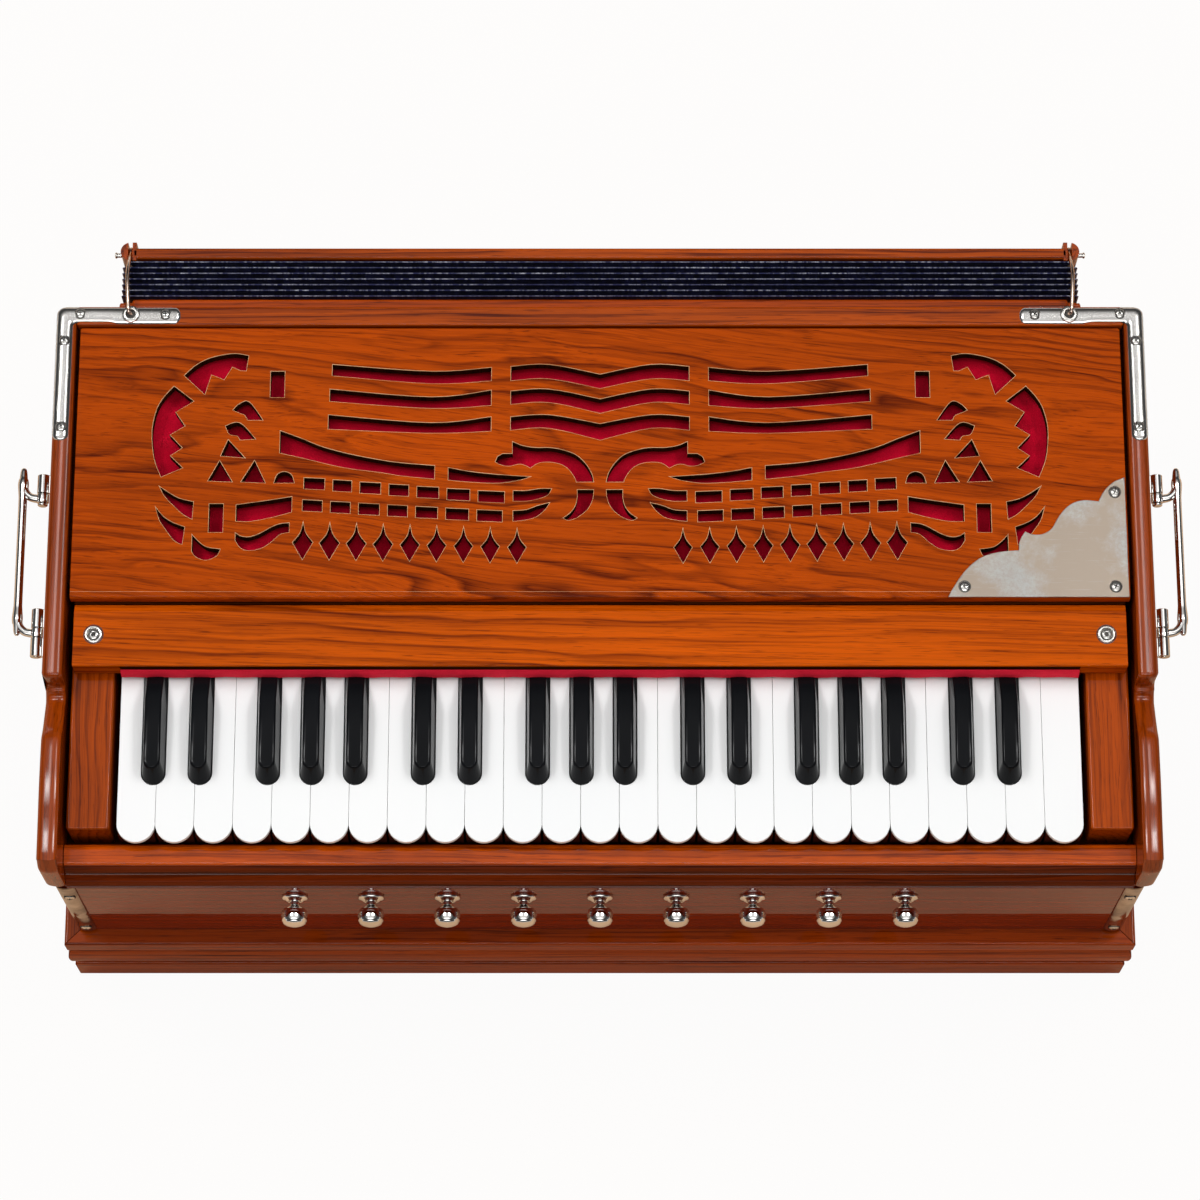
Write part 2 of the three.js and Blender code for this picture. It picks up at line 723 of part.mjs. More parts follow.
// The folded bellows: ridges and valleys between the two boards
function bellowsFoldsPiece() {
  const ring = (y, inset) => {
    const x = bellowsHalfWidth - inset;
    const bottom = bellowsBottomZ + inset / 2;
    const top = bellowsTopZ - inset / 2;
    return [[-x, y, top], [x, y, top], [x, y, bottom], [-x, y, bottom]];
  };
  const rings = [];
  for (let i = 0; i < bellowsFolds; i += 1) {
    const startY = foldsFrontY + i * bellowsFoldPitch;
    rings.push(ring(startY, bellowsFoldDepth), ring(startY + bellowsFoldPitch / 2, 0));
  }
  rings.push(ring(foldsBackY, bellowsFoldDepth));
  return piece('bellows_folds', loft(rings), finish.cloth);
}

// The bellows' outer board, with a forked lobe and a pin at each top corner
function bellowsBoard() {
  const parts = [
    block(-boardHalfWidth, boardHalfWidth, outerBoardFrontY, outerBoardBackY, bellowsBottomZ, bellowsTopZ),
  ];
  const radius = lobeThickness / 2;
  const lobeBottomZ = bellowsTopZ - lobeHeight;
  const slotHalf = hookWire + hookSlotGap;
  const slotBottomZ = hookPinZ - hookRingRadius - hookSlotGap;
  const slots = [];
  for (const side of [-1, 1]) {
    const lobe = new THREE.Shape();
    lobe.moveTo(0, lobeMiddleY - radius);
    lobe.lineTo(lobeMiddleX, lobeMiddleY - radius);
    lobe.absarc(lobeMiddleX, lobeMiddleY, radius, -Math.PI / 2, Math.PI / 2, false);
    lobe.lineTo(0, lobeMiddleY + radius);
    const whole = raise(lobe, lobeBottomZ, bellowsTopZ, 5);
    const inboardX = boardHalfWidth - bellowsBoardLip;
    const cutAway = block(-overrun, inboardX, lobeMiddleY - lobeThickness, lobeBackY + overrun, 0, wallTopZ);
    const made = whole.subtract(cutAway);
    parts.push(side > 0 ? made : made.mirror([1, 0, 0]));
    const slotX = side * lobeMiddleX;
    slots.push(
      block(
        slotX - slotHalf,
        slotX + slotHalf,
        lobeMiddleY - lobeThickness,
        lobeBackY + overrun,
        slotBottomZ,
        bellowsTopZ + overrun,
      ),
    );
  }
  const board = cut(join(parts), slots);
  const pins = [-1, 1].map((side) => {
    const startX = side > 0 ? lobeMiddleX - slotHalf - bite : -lobeMiddleX - radius - hookPinReach;
    const length = slotHalf + bite + radius + hookPinReach;
    return rod(hookPinRadius, alongX, new THREE.Vector3(startX, lobeMiddleY, hookPinZ), length, pinSides);
  });
  return piece('bellows_board', join([board, ...pins]), finish.wood);
}

// A hook: a wire ring on the lobe's pin, a wire over the folds and a tip over the bracket's eye
function bellowsHook(side, name) {
  const hookSteps = 14;
  const mean = hookRingRadius - hookWire;
  const profile = [];
  for (let i = 0; i <= hookSides; i += 1) {
    const angle = (i / hookSides) * 2 * Math.PI;
    profile.push([mean + hookWire * Math.cos(angle), hookWire * Math.sin(angle)]);
  }
  const ring = turn(profile, alongX, new THREE.Vector3(lobeMiddleX, lobeMiddleY, hookPinZ), ringSides);
  const overZ = wallTopZ + bracketThickness + hookOverBracket + hookWire;
  const tipZ = wallTopZ + bracketThickness + seatGap;
  const path = [
    new THREE.Vector3(lobeMiddleX, lobeMiddleY, hookPinZ + mean),
    new THREE.Vector3(lobeMiddleX, lobeMiddleY - lobeThickness / 2, bellowsTopZ + 2 * hookWire),
    new THREE.Vector3(lobeMiddleX, (lobeMiddleY + bodyDepth) / 2, overZ),
    new THREE.Vector3(lobeMiddleX - hookWire, bodyDepth, overZ),
    new THREE.Vector3(eyeX + hookWire, eyeY + hookWire, overZ - hookWire / 2),
    new THREE.Vector3(eyeX, eyeY, tipZ),
  ];
  const made = ring.add(wire(path, hookWire, hookSides, hookSteps));
  return piece(name, side > 0 ? made : made.mirror([1, 0, 0]), finish.chrome);
}

// A carrying handle: a grip bar with pointed tips on two swept legs, each with a hinge eye
function carryingHandle(side, name) {
  const [frontY, backY] = handleLegYs();
  const pivotX = bodyHalfWidth + handlePivotReach;
  const barX = bodyHalfWidth + handleReach + handleBarRadius;
  const startY = frontY - handleTipLength - handleTipRadius;
  const length = backY - frontY + 2 * (handleTipLength + handleTipRadius);
  const legSteps = 4;
  const halfShares = [
    [0, 0],
    [0.6, 0.16],
    [0.65, 0.6],
    [1, 1],
    [0.9, 1.6],
  ];
  const tipReach = handleTipLength + handleTipRadius;
  const halfProfile = halfShares.map(([wide, along]) => [handleTipRadius * wide, tipReach * along]);
  halfProfile.push([handleBarRadius, 2 * tipReach]);
  const backHalf = halfProfile.map(([radius, along]) => [radius, length - along]).reverse();
  const barStart = new THREE.Vector3(barX, startY, handleHeight);
  const bar = turn([...halfProfile, ...backHalf], alongY, barStart, barSides);
  const parts = [bar];
  for (const y of [frontY, backY]) {
    const inner = hingePinRadius + barrelGap;
    const ring = [
      [inner, 0],
      [barrelRadius, 0],
      [barrelRadius, barrelLength],
      [inner, barrelLength],
      [inner, 0],
    ];
    const ringY = y - handleLegSweep;
    const ringStart = new THREE.Vector3(pivotX, ringY - barrelLength / 2, handleHeight);
    parts.push(turn(ring, alongY, ringStart, barSides));
    const rootX = pivotX + (barrelRadius + inner) / 2;
    const path = [
      new THREE.Vector3(rootX, ringY, handleHeight),
      new THREE.Vector3((rootX + barX) / 2, ringY + handleLegSweep / 8, handleHeight),
      new THREE.Vector3(barX - handleLegRadius / 2, ringY + handleLegSweep / 2, handleHeight),
      new THREE.Vector3(barX, y, handleHeight),
    ];
    parts.push(wire(path, handleLegRadius, legSides, legSteps));
  }
  const made = join(parts);
  return piece(name, side > 0 ? made : made.mirror([1, 0, 0]), finish.chrome);
}

// The fret panel: a thin board whose cut-outs let the sound out.
// The cut-outs of the left half are drawn in the photograph's pixels and carried onto the
// board by its four edges there, so that the pattern follows the board's own size.
const boardPixels = { middle: 599.5, half: 525, top: 328, bottom: 598 };

function ontoBoard([across, down], side) {
  const x = (side * (boardPixels.middle - across) * fretHalfWidth) / boardPixels.half;
  const depthShare = (down - boardPixels.top) / (boardPixels.bottom - boardPixels.top);
  return new THREE.Vector2(x, fretBackY - depthShare * fretDepth);
}

// An outline is a list of stretches: each one curved or straight from the point before it
const curve = (...points) => ({ curved: true, points });
const line = (...points) => ({ curved: false, points });

const fanPixels = [
  [
    curve([181, 376], [192, 366], [205, 359], [221, 355], [233, 354], [245, 356]),
    line([243, 371], [238, 371], [229, 367], [221, 380], [208, 375], [202, 395]),
  ],
  [
    line([171, 387], [191, 402], [173, 413], [183, 427], [168, 436]),
    line([181, 449], [169, 457], [182, 469], [161, 478]),
    curve([154, 461], [151, 442], [151, 426], [155, 409], [162, 397], [171, 387]),
  ],
];
const crestPixels = [
  [
    curve([231, 411], [237, 405], [247, 403], [261, 421]),
    line([246, 421]),
    curve([243, 416], [238, 414], [231, 411]),
  ],
  [curve([224, 427], [238, 424], [254, 440]), line([239, 441]), curve([236, 437], [228, 435], [224, 427])],
  [line([227, 441], [244, 459], [220, 457])],
  [line([219, 462], [232, 483], [208, 482])],
  [line([254, 462], [265, 484], [241, 483])],
  [line([274, 484], [294, 484]), curve([291, 476], [284, 473], [277, 476], [274, 484])],
  [line([268, 372], [282, 372], [282, 398], [268, 398])],
];
const wingPixels = [
  [
    curve([279, 432], [301, 440], [321, 448], [347, 455], [372, 460], [398, 464], [434, 467]),
    line([434, 480]),
    curve([403, 477], [377, 473], [352, 470], [331, 466], [306, 460], [279, 454]),
  ],
  [
    curve([448, 469], [470, 473], [498, 476], [529, 478]),
    curve([519, 481], [498, 484], [470, 483], [448, 481]),
  ],
];
const headPixels = [
  [
    curve([512, 443], [522, 447], [535, 449], [549, 449], [561, 451]),
    curve([575, 456], [585, 465], [591, 475], [593, 483]),
    line([576, 483]),
    curve([574, 478], [568, 470], [560, 465], [549, 463], [538, 464], [530, 469]),
    curve([524, 466], [518, 465], [509, 467], [501, 466], [495, 463]),
    line([497, 458], [502, 455], [512, 455]),
  ],
  [
    line([577, 491], [593, 491]),
    curve([592, 500], [587, 510], [577, 518], [568, 521], [563, 519]),
    curve([570, 514], [575, 507], [577, 499], [577, 491]),
  ],
];
const barRowPixels = [
  { lefts: [304, 333, 360, 389, 417, 447, 478], right: 504, top: [479, 492], height: 10.8 },
  { lefts: [303, 331, 359, 388, 416, 446, 477], right: 502, top: [501, 511], height: 10.8 },
];
const barGapPixels = 8.6;
const barTiltPixels = 1;
const barTipPixels = [
  [
    line([513, 492]),
    curve([526, 492], [540, 490], [551, 490]),
    curve([547, 496], [537, 500], [526, 502], [513, 502]),
  ],
  [
    line([513, 512]),
    curve([526, 511], [537, 507], [549, 504]),
    curve([544, 511], [535, 518], [523, 521], [513, 522]),
  ],
];
const dropPixels = { count: 9, first: [304, 524], last: [517, 530.5], height: [36, 33], width: [20, 18] };
const tailPixels = [
  [
    curve([160, 488], [171, 495], [181, 500], [194, 503]),
    line([193, 520]),
    curve([184, 515], [175, 507], [166, 498], [160, 488]),
  ],
  [
    curve([157, 509], [165, 518], [175, 524], [186, 528]),
    line([184, 545]),
    curve([176, 541], [168, 531], [161, 521], [157, 509]),
  ],
  [
    curve([194, 536], [201, 543], [209, 548], [222, 550]),
    curve([219, 556], [211, 560], [205, 560], [198, 557], [194, 552]),
  ],
  [line([210, 505], [224, 505], [224, 533], [210, 533])],
  [
    curve([237, 506], [252, 504], [273, 501], [292, 498]),
    line([292, 513]),
    curve([273, 518], [252, 522], [237, 522]),
  ],
  [
    curve([237, 534], [242, 537], [250, 538], [260, 535], [273, 528], [281, 525], [290, 524]),
    line([290, 533]),
    curve([281, 535], [272, 543], [262, 549], [250, 551], [242, 548], [237, 541]),
  ],
];
const waveRowPixels = [
  { start: 330, tops: [365, 372, 368], bottoms: [376, 384, 381] },
  { start: 328, tops: [390, 398, 391], bottoms: [402, 409, 406] },
  { start: 327, tops: [416, 424, 418], bottoms: [430, 434, 432] },
];
const waveEndPixels = { middle: 430, end: 490 };
const doubleWavePixels = {
  start: 510,
  crest: 548,
  cusp: 599.5,
  rows: [
    { tops: [367, 365, 375], bottoms: [381, 379, 389] },
    { tops: [392, 390, 400], bottoms: [405, 403, 414] },
    { tops: [418, 416, 425], bottoms: [431, 429, 441] },
  ],
};

// Saws one outline through the board, on the left half (side -1) or mirrored on the right (side 1)
function cutOut(stretches, side, steps = 1) {
  const shape = new THREE.Shape();
  let open = false;
  for (const { curved, points } of stretches) {
    const placed = points.map((point) => ontoBoard(point, side));
    if (!open) shape.moveTo(placed[0].x, placed[0].y);
    const rest = open ? placed : placed.slice(1);
    if (curved && rest.length > 1) shape.splineThru(rest);
    else rest.forEach((point) => shape.lineTo(point.x, point.y));
    open = true;
  }
  return raise(shape, fretBottomZ - overrun, fretTopZ + overrun, steps);
}

// The two rows of small bars in the wing
function barOutlines() {
  return barRowPixels.flatMap(({ lefts, right, top, height }) =>
    lefts.map((left, i) => {
      const end = i + 1 < lefts.length ? lefts[i + 1] - barGapPixels : right;
      const high = top[0] + ((top[1] - top[0]) * i) / (lefts.length - 1);
      const low = high + barTiltPixels;
      return [line([left, high], [end, low], [end, low + height], [left, high + height])];
    }),
  );
}

// The drops under the wing: pointed at both ends, with hollow shoulders above
function dropOutlines() {
  const { count, first, last, height, width } = dropPixels;
  const [shoulderShare, widestShare, waistShare] = [0.28, 0.53, 0.28];
  return Array.from({ length: count }, (_, i) => {
    const share = i / (count - 1);
    const between = ([a, b]) => a + (b - a) * share;
    const x = between([first[0], last[0]]);
    const top = between([first[1], last[1]]);
    const tall = between(height);
    const half = between(width) / 2;
    const widest = top + widestShare * tall;
    const shoulder = top + shoulderShare * tall;
    return [
      line([x, top]),
      curve([x + waistShare * half, shoulder], [x + half, widest]),
      line([x, top + tall]),
      line([x - half, widest]),
      curve([x - waistShare * half, shoulder], [x, top]),
    ];
  });
}

// The long wavy slots beside the middle
function waveOutlines() {
  return waveRowPixels.map(({ start, tops, bottoms }) => {
    const { middle, end } = waveEndPixels;
    return [
      curve([start, tops[0]], [middle, tops[1]], [end, tops[2]]),
      line([end, bottoms[2]]),
      curve([middle, bottoms[1]], [start, bottoms[0]]),
    ];
  });
}

// The slots across the middle, which rise to a crest on each side of a low cusp
function doubleWavePath({ tops, bottoms }) {
  const { start, crest, cusp } = doubleWavePixels;
  const far = (across) => 2 * boardPixels.middle - across;
  const edge = ([end, peak, low]) => [
    [[start, end], [crest, peak], [cusp, low]],
    [[far(crest), peak], [far(start), end]],
  ];
  const [topNear, topFar] = edge(tops);
  const [lowNear, lowFar] = edge(bottoms);
  return [
    curve(...topNear),
    curve(...topFar),
    line(lowFar[1]),
    curve(lowFar[0], lowNear[2]),
    curve(lowNear[1], lowNear[0]),
  ];
}

function fretPanel() {
  const board = block(-fretHalfWidth, fretHalfWidth, fretFrontY, fretBackY, fretBottomZ, fretTopZ);
  const outlines = [
    ...fanPixels,
    ...crestPixels,
    ...wingPixels,
    ...headPixels,
    ...barOutlines(),
    ...barTipPixels,
    ...dropOutlines(),
    ...tailPixels,
  ];
  const waveSteps = 2;
  const sawn = [-1, 1].flatMap((side) => [
    ...outlines.map((outline) => cutOut(outline, side)),
    ...waveOutlines().map((outline) => cutOut(outline, side, waveSteps)),
  ]);
  sawn.push(...doubleWavePixels.rows.map((row) => cutOut(doubleWavePath(row), -1, waveSteps)));
  return piece('fret_panel', cut(board, sawn), finish.panelWood);
}

const harmonium = new THREE.Group();
harmonium.name = 'indian_harmonium';
harmonium.add(harmoniumCase(), fretPanel(), nameRail(), bellowsFoldsPiece(), bellowsBoard());
let sharpNumber = 0;
for (let i = 0; i < naturalCount; i += 1) {
  harmonium.add(naturalKey(i));
  const sharpX = sharpAfter(i);
  if (sharpX !== undefined) {
    sharpNumber += 1;
    harmonium.add(sharpKey(sharpX, sharpNumber));
  }
}
stopXs().forEach((x, i) => harmonium.add(stopKnob(x, i + 1)));
harmonium.add(bellowsHook(-1, 'hook_left'), bellowsHook(1, 'hook_right'));
harmonium.add(carryingHandle(-1, 'handle_left'), carryingHandle(1, 'handle_right'));
harmonium.position.set(0, -(knobFrontY + lobeBackY) / 2, 0);

export default harmonium;
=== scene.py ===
# Looks of a portable Indian harmonium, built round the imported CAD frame.
# Sizes are millimetres in the CAD source's frame, and at() carries them into the row's frame in metres.
import math

import bmesh
import bpy
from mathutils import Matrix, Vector


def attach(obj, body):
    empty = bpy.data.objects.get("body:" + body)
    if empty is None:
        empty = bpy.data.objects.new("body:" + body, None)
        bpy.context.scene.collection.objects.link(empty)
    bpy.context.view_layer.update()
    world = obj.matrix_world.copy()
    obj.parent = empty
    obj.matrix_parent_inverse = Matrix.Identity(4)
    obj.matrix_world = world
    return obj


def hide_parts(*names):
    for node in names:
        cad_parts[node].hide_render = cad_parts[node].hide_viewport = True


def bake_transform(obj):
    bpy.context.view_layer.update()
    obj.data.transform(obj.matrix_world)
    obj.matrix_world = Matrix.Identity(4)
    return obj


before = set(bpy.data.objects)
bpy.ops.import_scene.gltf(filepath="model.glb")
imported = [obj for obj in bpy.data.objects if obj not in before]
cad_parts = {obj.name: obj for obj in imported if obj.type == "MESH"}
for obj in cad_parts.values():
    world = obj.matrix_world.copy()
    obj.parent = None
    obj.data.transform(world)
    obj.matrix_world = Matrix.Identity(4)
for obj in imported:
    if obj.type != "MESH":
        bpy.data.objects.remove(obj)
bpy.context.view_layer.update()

MM = 0.001
SHIFT_Y = 176.175

# Sizes that the CAD source gives the case
PLINTH_TOP, SLIP_BOTTOM, SLIP_TOP, WALL_TOP = 81, 200, 219, 258
BAY_FLOOR, STEM_BOTTOM, PLATE_BOTTOM, KEY_TOP, BLOCK_TOP = 202, 212, 228.5, 232, 235
RAIL_BOTTOM, RAIL_TOP, FRET_BOTTOM, FRET_TOP = 235.3, 250, 249, 256
BELLOWS_BOTTOM, BELLOWS_TOP = 92, 253
TIP_Y, SLIP_DEPTH, BLOCK_FRONT, SHARP_FRONT, STEP_Y = 15.4, 17.6, 22.2, 48.9, 104.4
RAIL_FRONT, RAIL_BACK, FRET_FRONT, FRET_BACK = 113.4, 150.4, 151.8, 315.8
KEY_TAIL, BAY_BACK, BACK_RAIL_FRONT, BODY_BACK, INNER_BACK = 160.8, 162.8, 316.9, 328.7, 335.3
FOLDS_FRONT, FOLDS_BACK, BOARD_FRONT, BOARD_BACK = 335.6, 360.45, 360.75, 367.55
LOBE_Y, LOBE_X, LOBE_RADIUS = 365.15, 274.3, 5.6
BLOCK_IN, BLOCK_OUT, ARM_IN, ARM_OUT, BODY_HALF = 276.3, 300.5, 303.4, 315, 310
FRET_HALF, NAME_HALF, FOLDS_HALF, BOARD_HALF, CHAMBER_HALF = 300.9, 298.8, 270.6, 273.6, 289.9
PITCH, KEY_COUNT = 21.8, 25
STOP_Z, STOP_PITCH, STOP_COUNT = 166, 44, 9
PIN_Z, EYE_X, EYE_Y = 246.6, 271.7, 323.35
PIVOT_X, BAR_X, HANDLE_Z, LEG_YS, LEG_SWEEP = 332.5, 344.5, 160, (169.35, 253.35), 9

# Sizes inside the case and of the boards, and the sides by name
BODY_BOTTOM, BOARD, CHAMBER_FLOOR, CHAMBER_FRONT, CHAMBER_END = 78, 10, 242.6, 167.8, 310.3
SIDES = ((-1, "left"), (1, "right"))


def at(x, y, z):
    return Vector((x, y - SHIFT_Y, z)) * MM


# Materials

class Nodes:
    """Short calls for the nodes of one tree."""

    def __init__(self, tree):
        self.tree = tree

    def node(self, kind, **settings):
        made = self.tree.nodes.new(kind)
        for key, value in settings.items():
            setattr(made, key, value)
        return made

    def feed(self, socket, value):
        if isinstance(value, bpy.types.NodeSocket):
            self.tree.links.new(value, socket)
        else:
            socket.default_value = value

    def fed(self, kind, values, **settings):
        """A node with its first sockets fed in turn."""
        made = self.node(kind, **settings)
        for socket, value in zip(made.inputs, values):
            self.feed(socket, value)
        return made

    def math(self, operation, a, b=0.0):
        return self.fed("ShaderNodeMath", (a, b), operation=operation).outputs[0]

    def scaled(self, value, factor, plus):
        return self.math("ADD", self.math("MULTIPLY", value, factor), plus)

    def vector(self, operation, a, b):
        made = self.fed("ShaderNodeVectorMath", (a, b), operation=operation)
        return made.outputs["Value" if operation == "DOT_PRODUCT" else "Vector"]

    def ramp(self, fac, *stops, smooth=False):
        made = self.node("ShaderNodeValToRGB")
        self.feed(made.inputs[0], fac)
        ramp = made.color_ramp
        if smooth:
            ramp.interpolation = "EASE"
        while len(ramp.elements) < len(stops):
            ramp.elements.new(0.5)
        for element, (place, level) in zip(ramp.elements, stops):
            element.position = place
            element.color = (level, level, level, 1)
        return made.outputs[0]


class Paint(Nodes):
    """A node material on one Principled shader."""

    def __init__(self, name, **uniform):
        self.material = bpy.data.materials.new(name)
        self.material.use_nodes = True
        super().__init__(self.material.node_tree)
        self.tree.nodes.clear()
        self.shader = self.node("ShaderNodeBsdfPrincipled")
        self.out = self.fed("ShaderNodeOutputMaterial", (self.shader.outputs[0],))
        self.place = self.node("ShaderNodeTexCoord").outputs["Object"]
        for key, value in uniform.items():
            self.set(key.replace("_", " "), value)

    def set(self, key, value):
        self.feed(self.shader.inputs[key], value)

    def noise(self, place, scale, detail=2.0, rough=0.5, colour=False):
        made = self.node("ShaderNodeTexNoise")
        for key, value in (("Vector", place), ("Scale", scale), ("Detail", detail), ("Roughness", rough)):
            self.feed(made.inputs[key], value)
        return made.outputs["Color" if colour else "Fac"]

    def streaks(self, stretch, detail, rough=0.5):
        """Noise with its own scale along each axis."""
        return self.noise(self.vector("MULTIPLY", self.place, stretch), 1.0, detail, rough)

    def mix(self, fac, a, b, blend="MIX"):
        made = self.node("ShaderNodeMix", data_type="RGBA", blend_type=blend)
        self.feed(made.inputs["Factor"], fac)
        for socket, value in ((made.inputs[6], a), (made.inputs[7], b)):
            self.feed(socket, (*value, 1) if isinstance(value, tuple) else value)
        return made.outputs[2]

    def bump(self, height, strength, distance, below=None):
        made = self.node("ShaderNodeBump")
        for key, value in (("Strength", strength), ("Distance", distance), ("Height", height),
                           ("Normal", below)):
            if value is not None:
                self.feed(made.inputs[key], value)
        return made.outputs[0]


def wood(name, along, light, dark, seed, ring, core, coat, warp=0.010, polish=0.03,
         lean=0.0, tall=1.0, marks=1.0, figure=1.0, skin=0.22):
    """Lacquered teak: growth rings round a leaning core, dark fibre streaks, pores and slow bands of tone.
    along is the grain's axis, and core the ring centre across it, in metres. lean slants the grain, tall draws
    it out in height, marks and figure weigh the dark streaks and the rings, and skin the lacquer's waves."""
    paint = Paint(name, Specular_IOR_Level=0.0, Coat_Weight=coat, Coat_Roughness=polish)
    parts = paint.fed("ShaderNodeSeparateXYZ", (paint.place,)).outputs
    far, wide, high = (parts["XYZ".index(axis)] for axis in {"X": "XYZ", "Y": "YXZ", "Z": "ZXY"}[along])
    if lean:
        wide = paint.math("ADD", wide, paint.math("MULTIPLY", far, lean))
    if tall != 1.0:
        high = paint.math("MULTIPLY", high, tall)
    place = paint.fed("ShaderNodeCombineXYZ", (far, wide, high)).outputs[0]
    place = paint.vector("ADD", place, (seed, 0.0, 0.0))

    def drawn(base, scales, detail, rough, colour=False):
        stretched = paint.vector("MULTIPLY", base, (scales[0], scales[1], scales[1]))
        return paint.noise(stretched, 1.0, detail, rough, colour)

    def sway(scales, detail, rough, wide_reach, high_reach):
        made = paint.vector("SUBTRACT", drawn(place, scales, detail, rough, True), (0.5, 0.5, 0.5))
        return paint.vector("MULTIPLY", made, (0.0, warp * wide_reach, warp * high_reach))

    drift = sway((3.2, 13.0), 3.0, 0.55, 2.4, 1.8)
    waves = sway((14.0, 50.0), 2.0, 0.5, 0.42, 0.42)
    bent = paint.vector("ADD", paint.vector("ADD", place, drift), waves)
    straight = paint.vector("ADD", place, paint.vector("MULTIPLY", drift, (0.0, 0.5, 0.5)))

    def layer(scales, detail, rough, *stops):
        made = drawn(straight, scales, detail, rough)
        return paint.ramp(made, *stops) if stops else made

    rings = paint.fed("ShaderNodeTexWave", (paint.vector("SUBTRACT", bent, (0.0, *core)),),
                      wave_type="RINGS", rings_direction="X", wave_profile="SAW")
    rings.inputs["Scale"].default_value = ring / 20 * 2 * math.pi
    rings.inputs["Distortion"].default_value = 0.0
    late = paint.ramp(rings.outputs["Fac"], (0.0, 0.0), (0.5, 0.15), (0.88, 1.0), (1.0, 0.1))
    late = paint.math("MULTIPLY", late, layer((4.0, 30.0), 2.0, 0.5, (0.34, 0.12), (0.66, 1.0)))
    fibre = layer((26.0, 1300.0), 3.0, 0.65)
    streak = layer((5.0, 640.0), 3.0, 0.6, (0.51, 0.0), (0.63, 1.0))
    heavy = layer((2.6, 250.0), 4.0, 0.62, (0.55, 0.0), (0.63, 1.0))
    pores = layer((60.0, 1700.0), 2.0, 0.5, (0.6, 0.0), (0.7, 1.0))
    band = layer((1.8, 34.0), 3.0, 0.5)
    tone = layer((2.0, 8.0), 2.0, 0.5, (0.3, 0.84), (0.7, 1.14))
    grain = paint.math("MULTIPLY", late, 0.45 * figure)
    for part, weight in ((streak, 0.62 * marks), (heavy, 0.38 * marks), (fibre, 0.55), (band, 0.34)):
        grain = paint.math("ADD", grain, paint.math("MULTIPLY", part, weight))
    grain = paint.math("SUBTRACT", grain, 0.40 + 0.10 * (figure - 1) - 0.31 * (1 - marks))
    made = paint.mix(paint.math("MULTIPLY", pores, 0.55), paint.mix(grain, light, dark),
                     tuple(c * 0.4 for c in dark))
    paint.set("Base Color", paint.mix(1.0, made, tone, "MULTIPLY"))
    paint.set("Roughness", paint.scaled(fibre, 0.2, 0.3))
    lacquer = paint.bump(paint.noise(paint.place, 26.0), skin, 0.0005)
    paint.set("Normal", paint.bump(grain, 0.10, 0.00012, lacquer))
    paint.set("Coat Normal", lacquer)
    return paint.material


def metal(name, colour, dull, rough, patch=18.0, bump=0.0, swells=0.0):
    """Plated metal: fine rubbing marks, slow swells and patches that shine less."""
    paint = Paint(name, Metallic=1.0)
    patches = paint.ramp(paint.noise(paint.place, patch, 4.0, 0.6), (0.35, 0.0), (0.65, 1.0))
    rubbed = paint.streaks((900.0, 60.0, 300.0), 2.0)
    paint.set("Base Color", paint.mix(patches, colour, dull))
    spread = paint.math("MULTIPLY", patches, rough * 0.7)
    spread = paint.math("ADD", spread, paint.math("MULTIPLY", rubbed, rough * 0.6))
    paint.set("Roughness", paint.math("ADD", spread, rough * 0.6))
    if bump:
        swell = paint.bump(paint.noise(paint.place, 34.0), swells, 0.001) if swells else None
        paint.set("Normal", paint.bump(rubbed, bump, 0.00005, swell))
    return paint.material


def plated_sheet():
    """The satin corner plate: a grey sheet with paler scratched clouds and long hair scratches."""
    paint = Paint("satin_plate", Metallic=0.85)
    scratched = paint.ramp(paint.noise(paint.place, 24.0, 6.0, 0.62), (0.47, 0.0), (0.62, 1.0))
    fleck = paint.ramp(paint.noise(paint.place, 520.0, 4.0, 0.7), (0.4, 0.0), (0.62, 1.0))
    scratched = paint.math("MULTIPLY", scratched, paint.scaled(fleck, 0.6, 0.4))
    hair = paint.ramp(paint.streaks((60.0, 1500.0, 1.0), 3.0), (0.62, 0.0), (0.70, 1.0))
    marks = paint.math("MAXIMUM", scratched, paint.math("MULTIPLY", hair, 0.25))
    paint.set("Base Color", paint.mix(marks, (0.32, 0.262, 0.21), (0.45, 0.45, 0.44)))
    paint.set("Roughness", paint.scaled(marks, 0.2, 0.36))
    paint.set("Normal", paint.bump(fleck, 0.12, 0.00008))
    return paint.material


def cloth(name, colour, shade, weave, sheen, rough=0.85):
    """A napped fabric: fine fibres over a soft patchy tone."""
    paint = Paint(name, Sheen_Weight=sheen, Sheen_Roughness=0.4, Sheen_Tint=(*colour, 1),
                  Specular_IOR_Level=0.2)
    nap = paint.noise(paint.place, weave, 4.0, 0.7)
    patches = paint.noise(paint.place, weave / 28, 3.0, 0.6)
    blend = paint.math("ADD", paint.math("MULTIPLY", nap, 0.6), paint.math("MULTIPLY", patches, 0.4))
    paint.set("Base Color", paint.mix(paint.ramp(blend, (0.36, 0.0), (0.64, 1.0)), shade, colour))
    paint.set("Roughness", paint.scaled(nap, 0.1, rough))
    paint.set("Normal", paint.bump(nap, 0.5, 0.0004))
    return paint.material


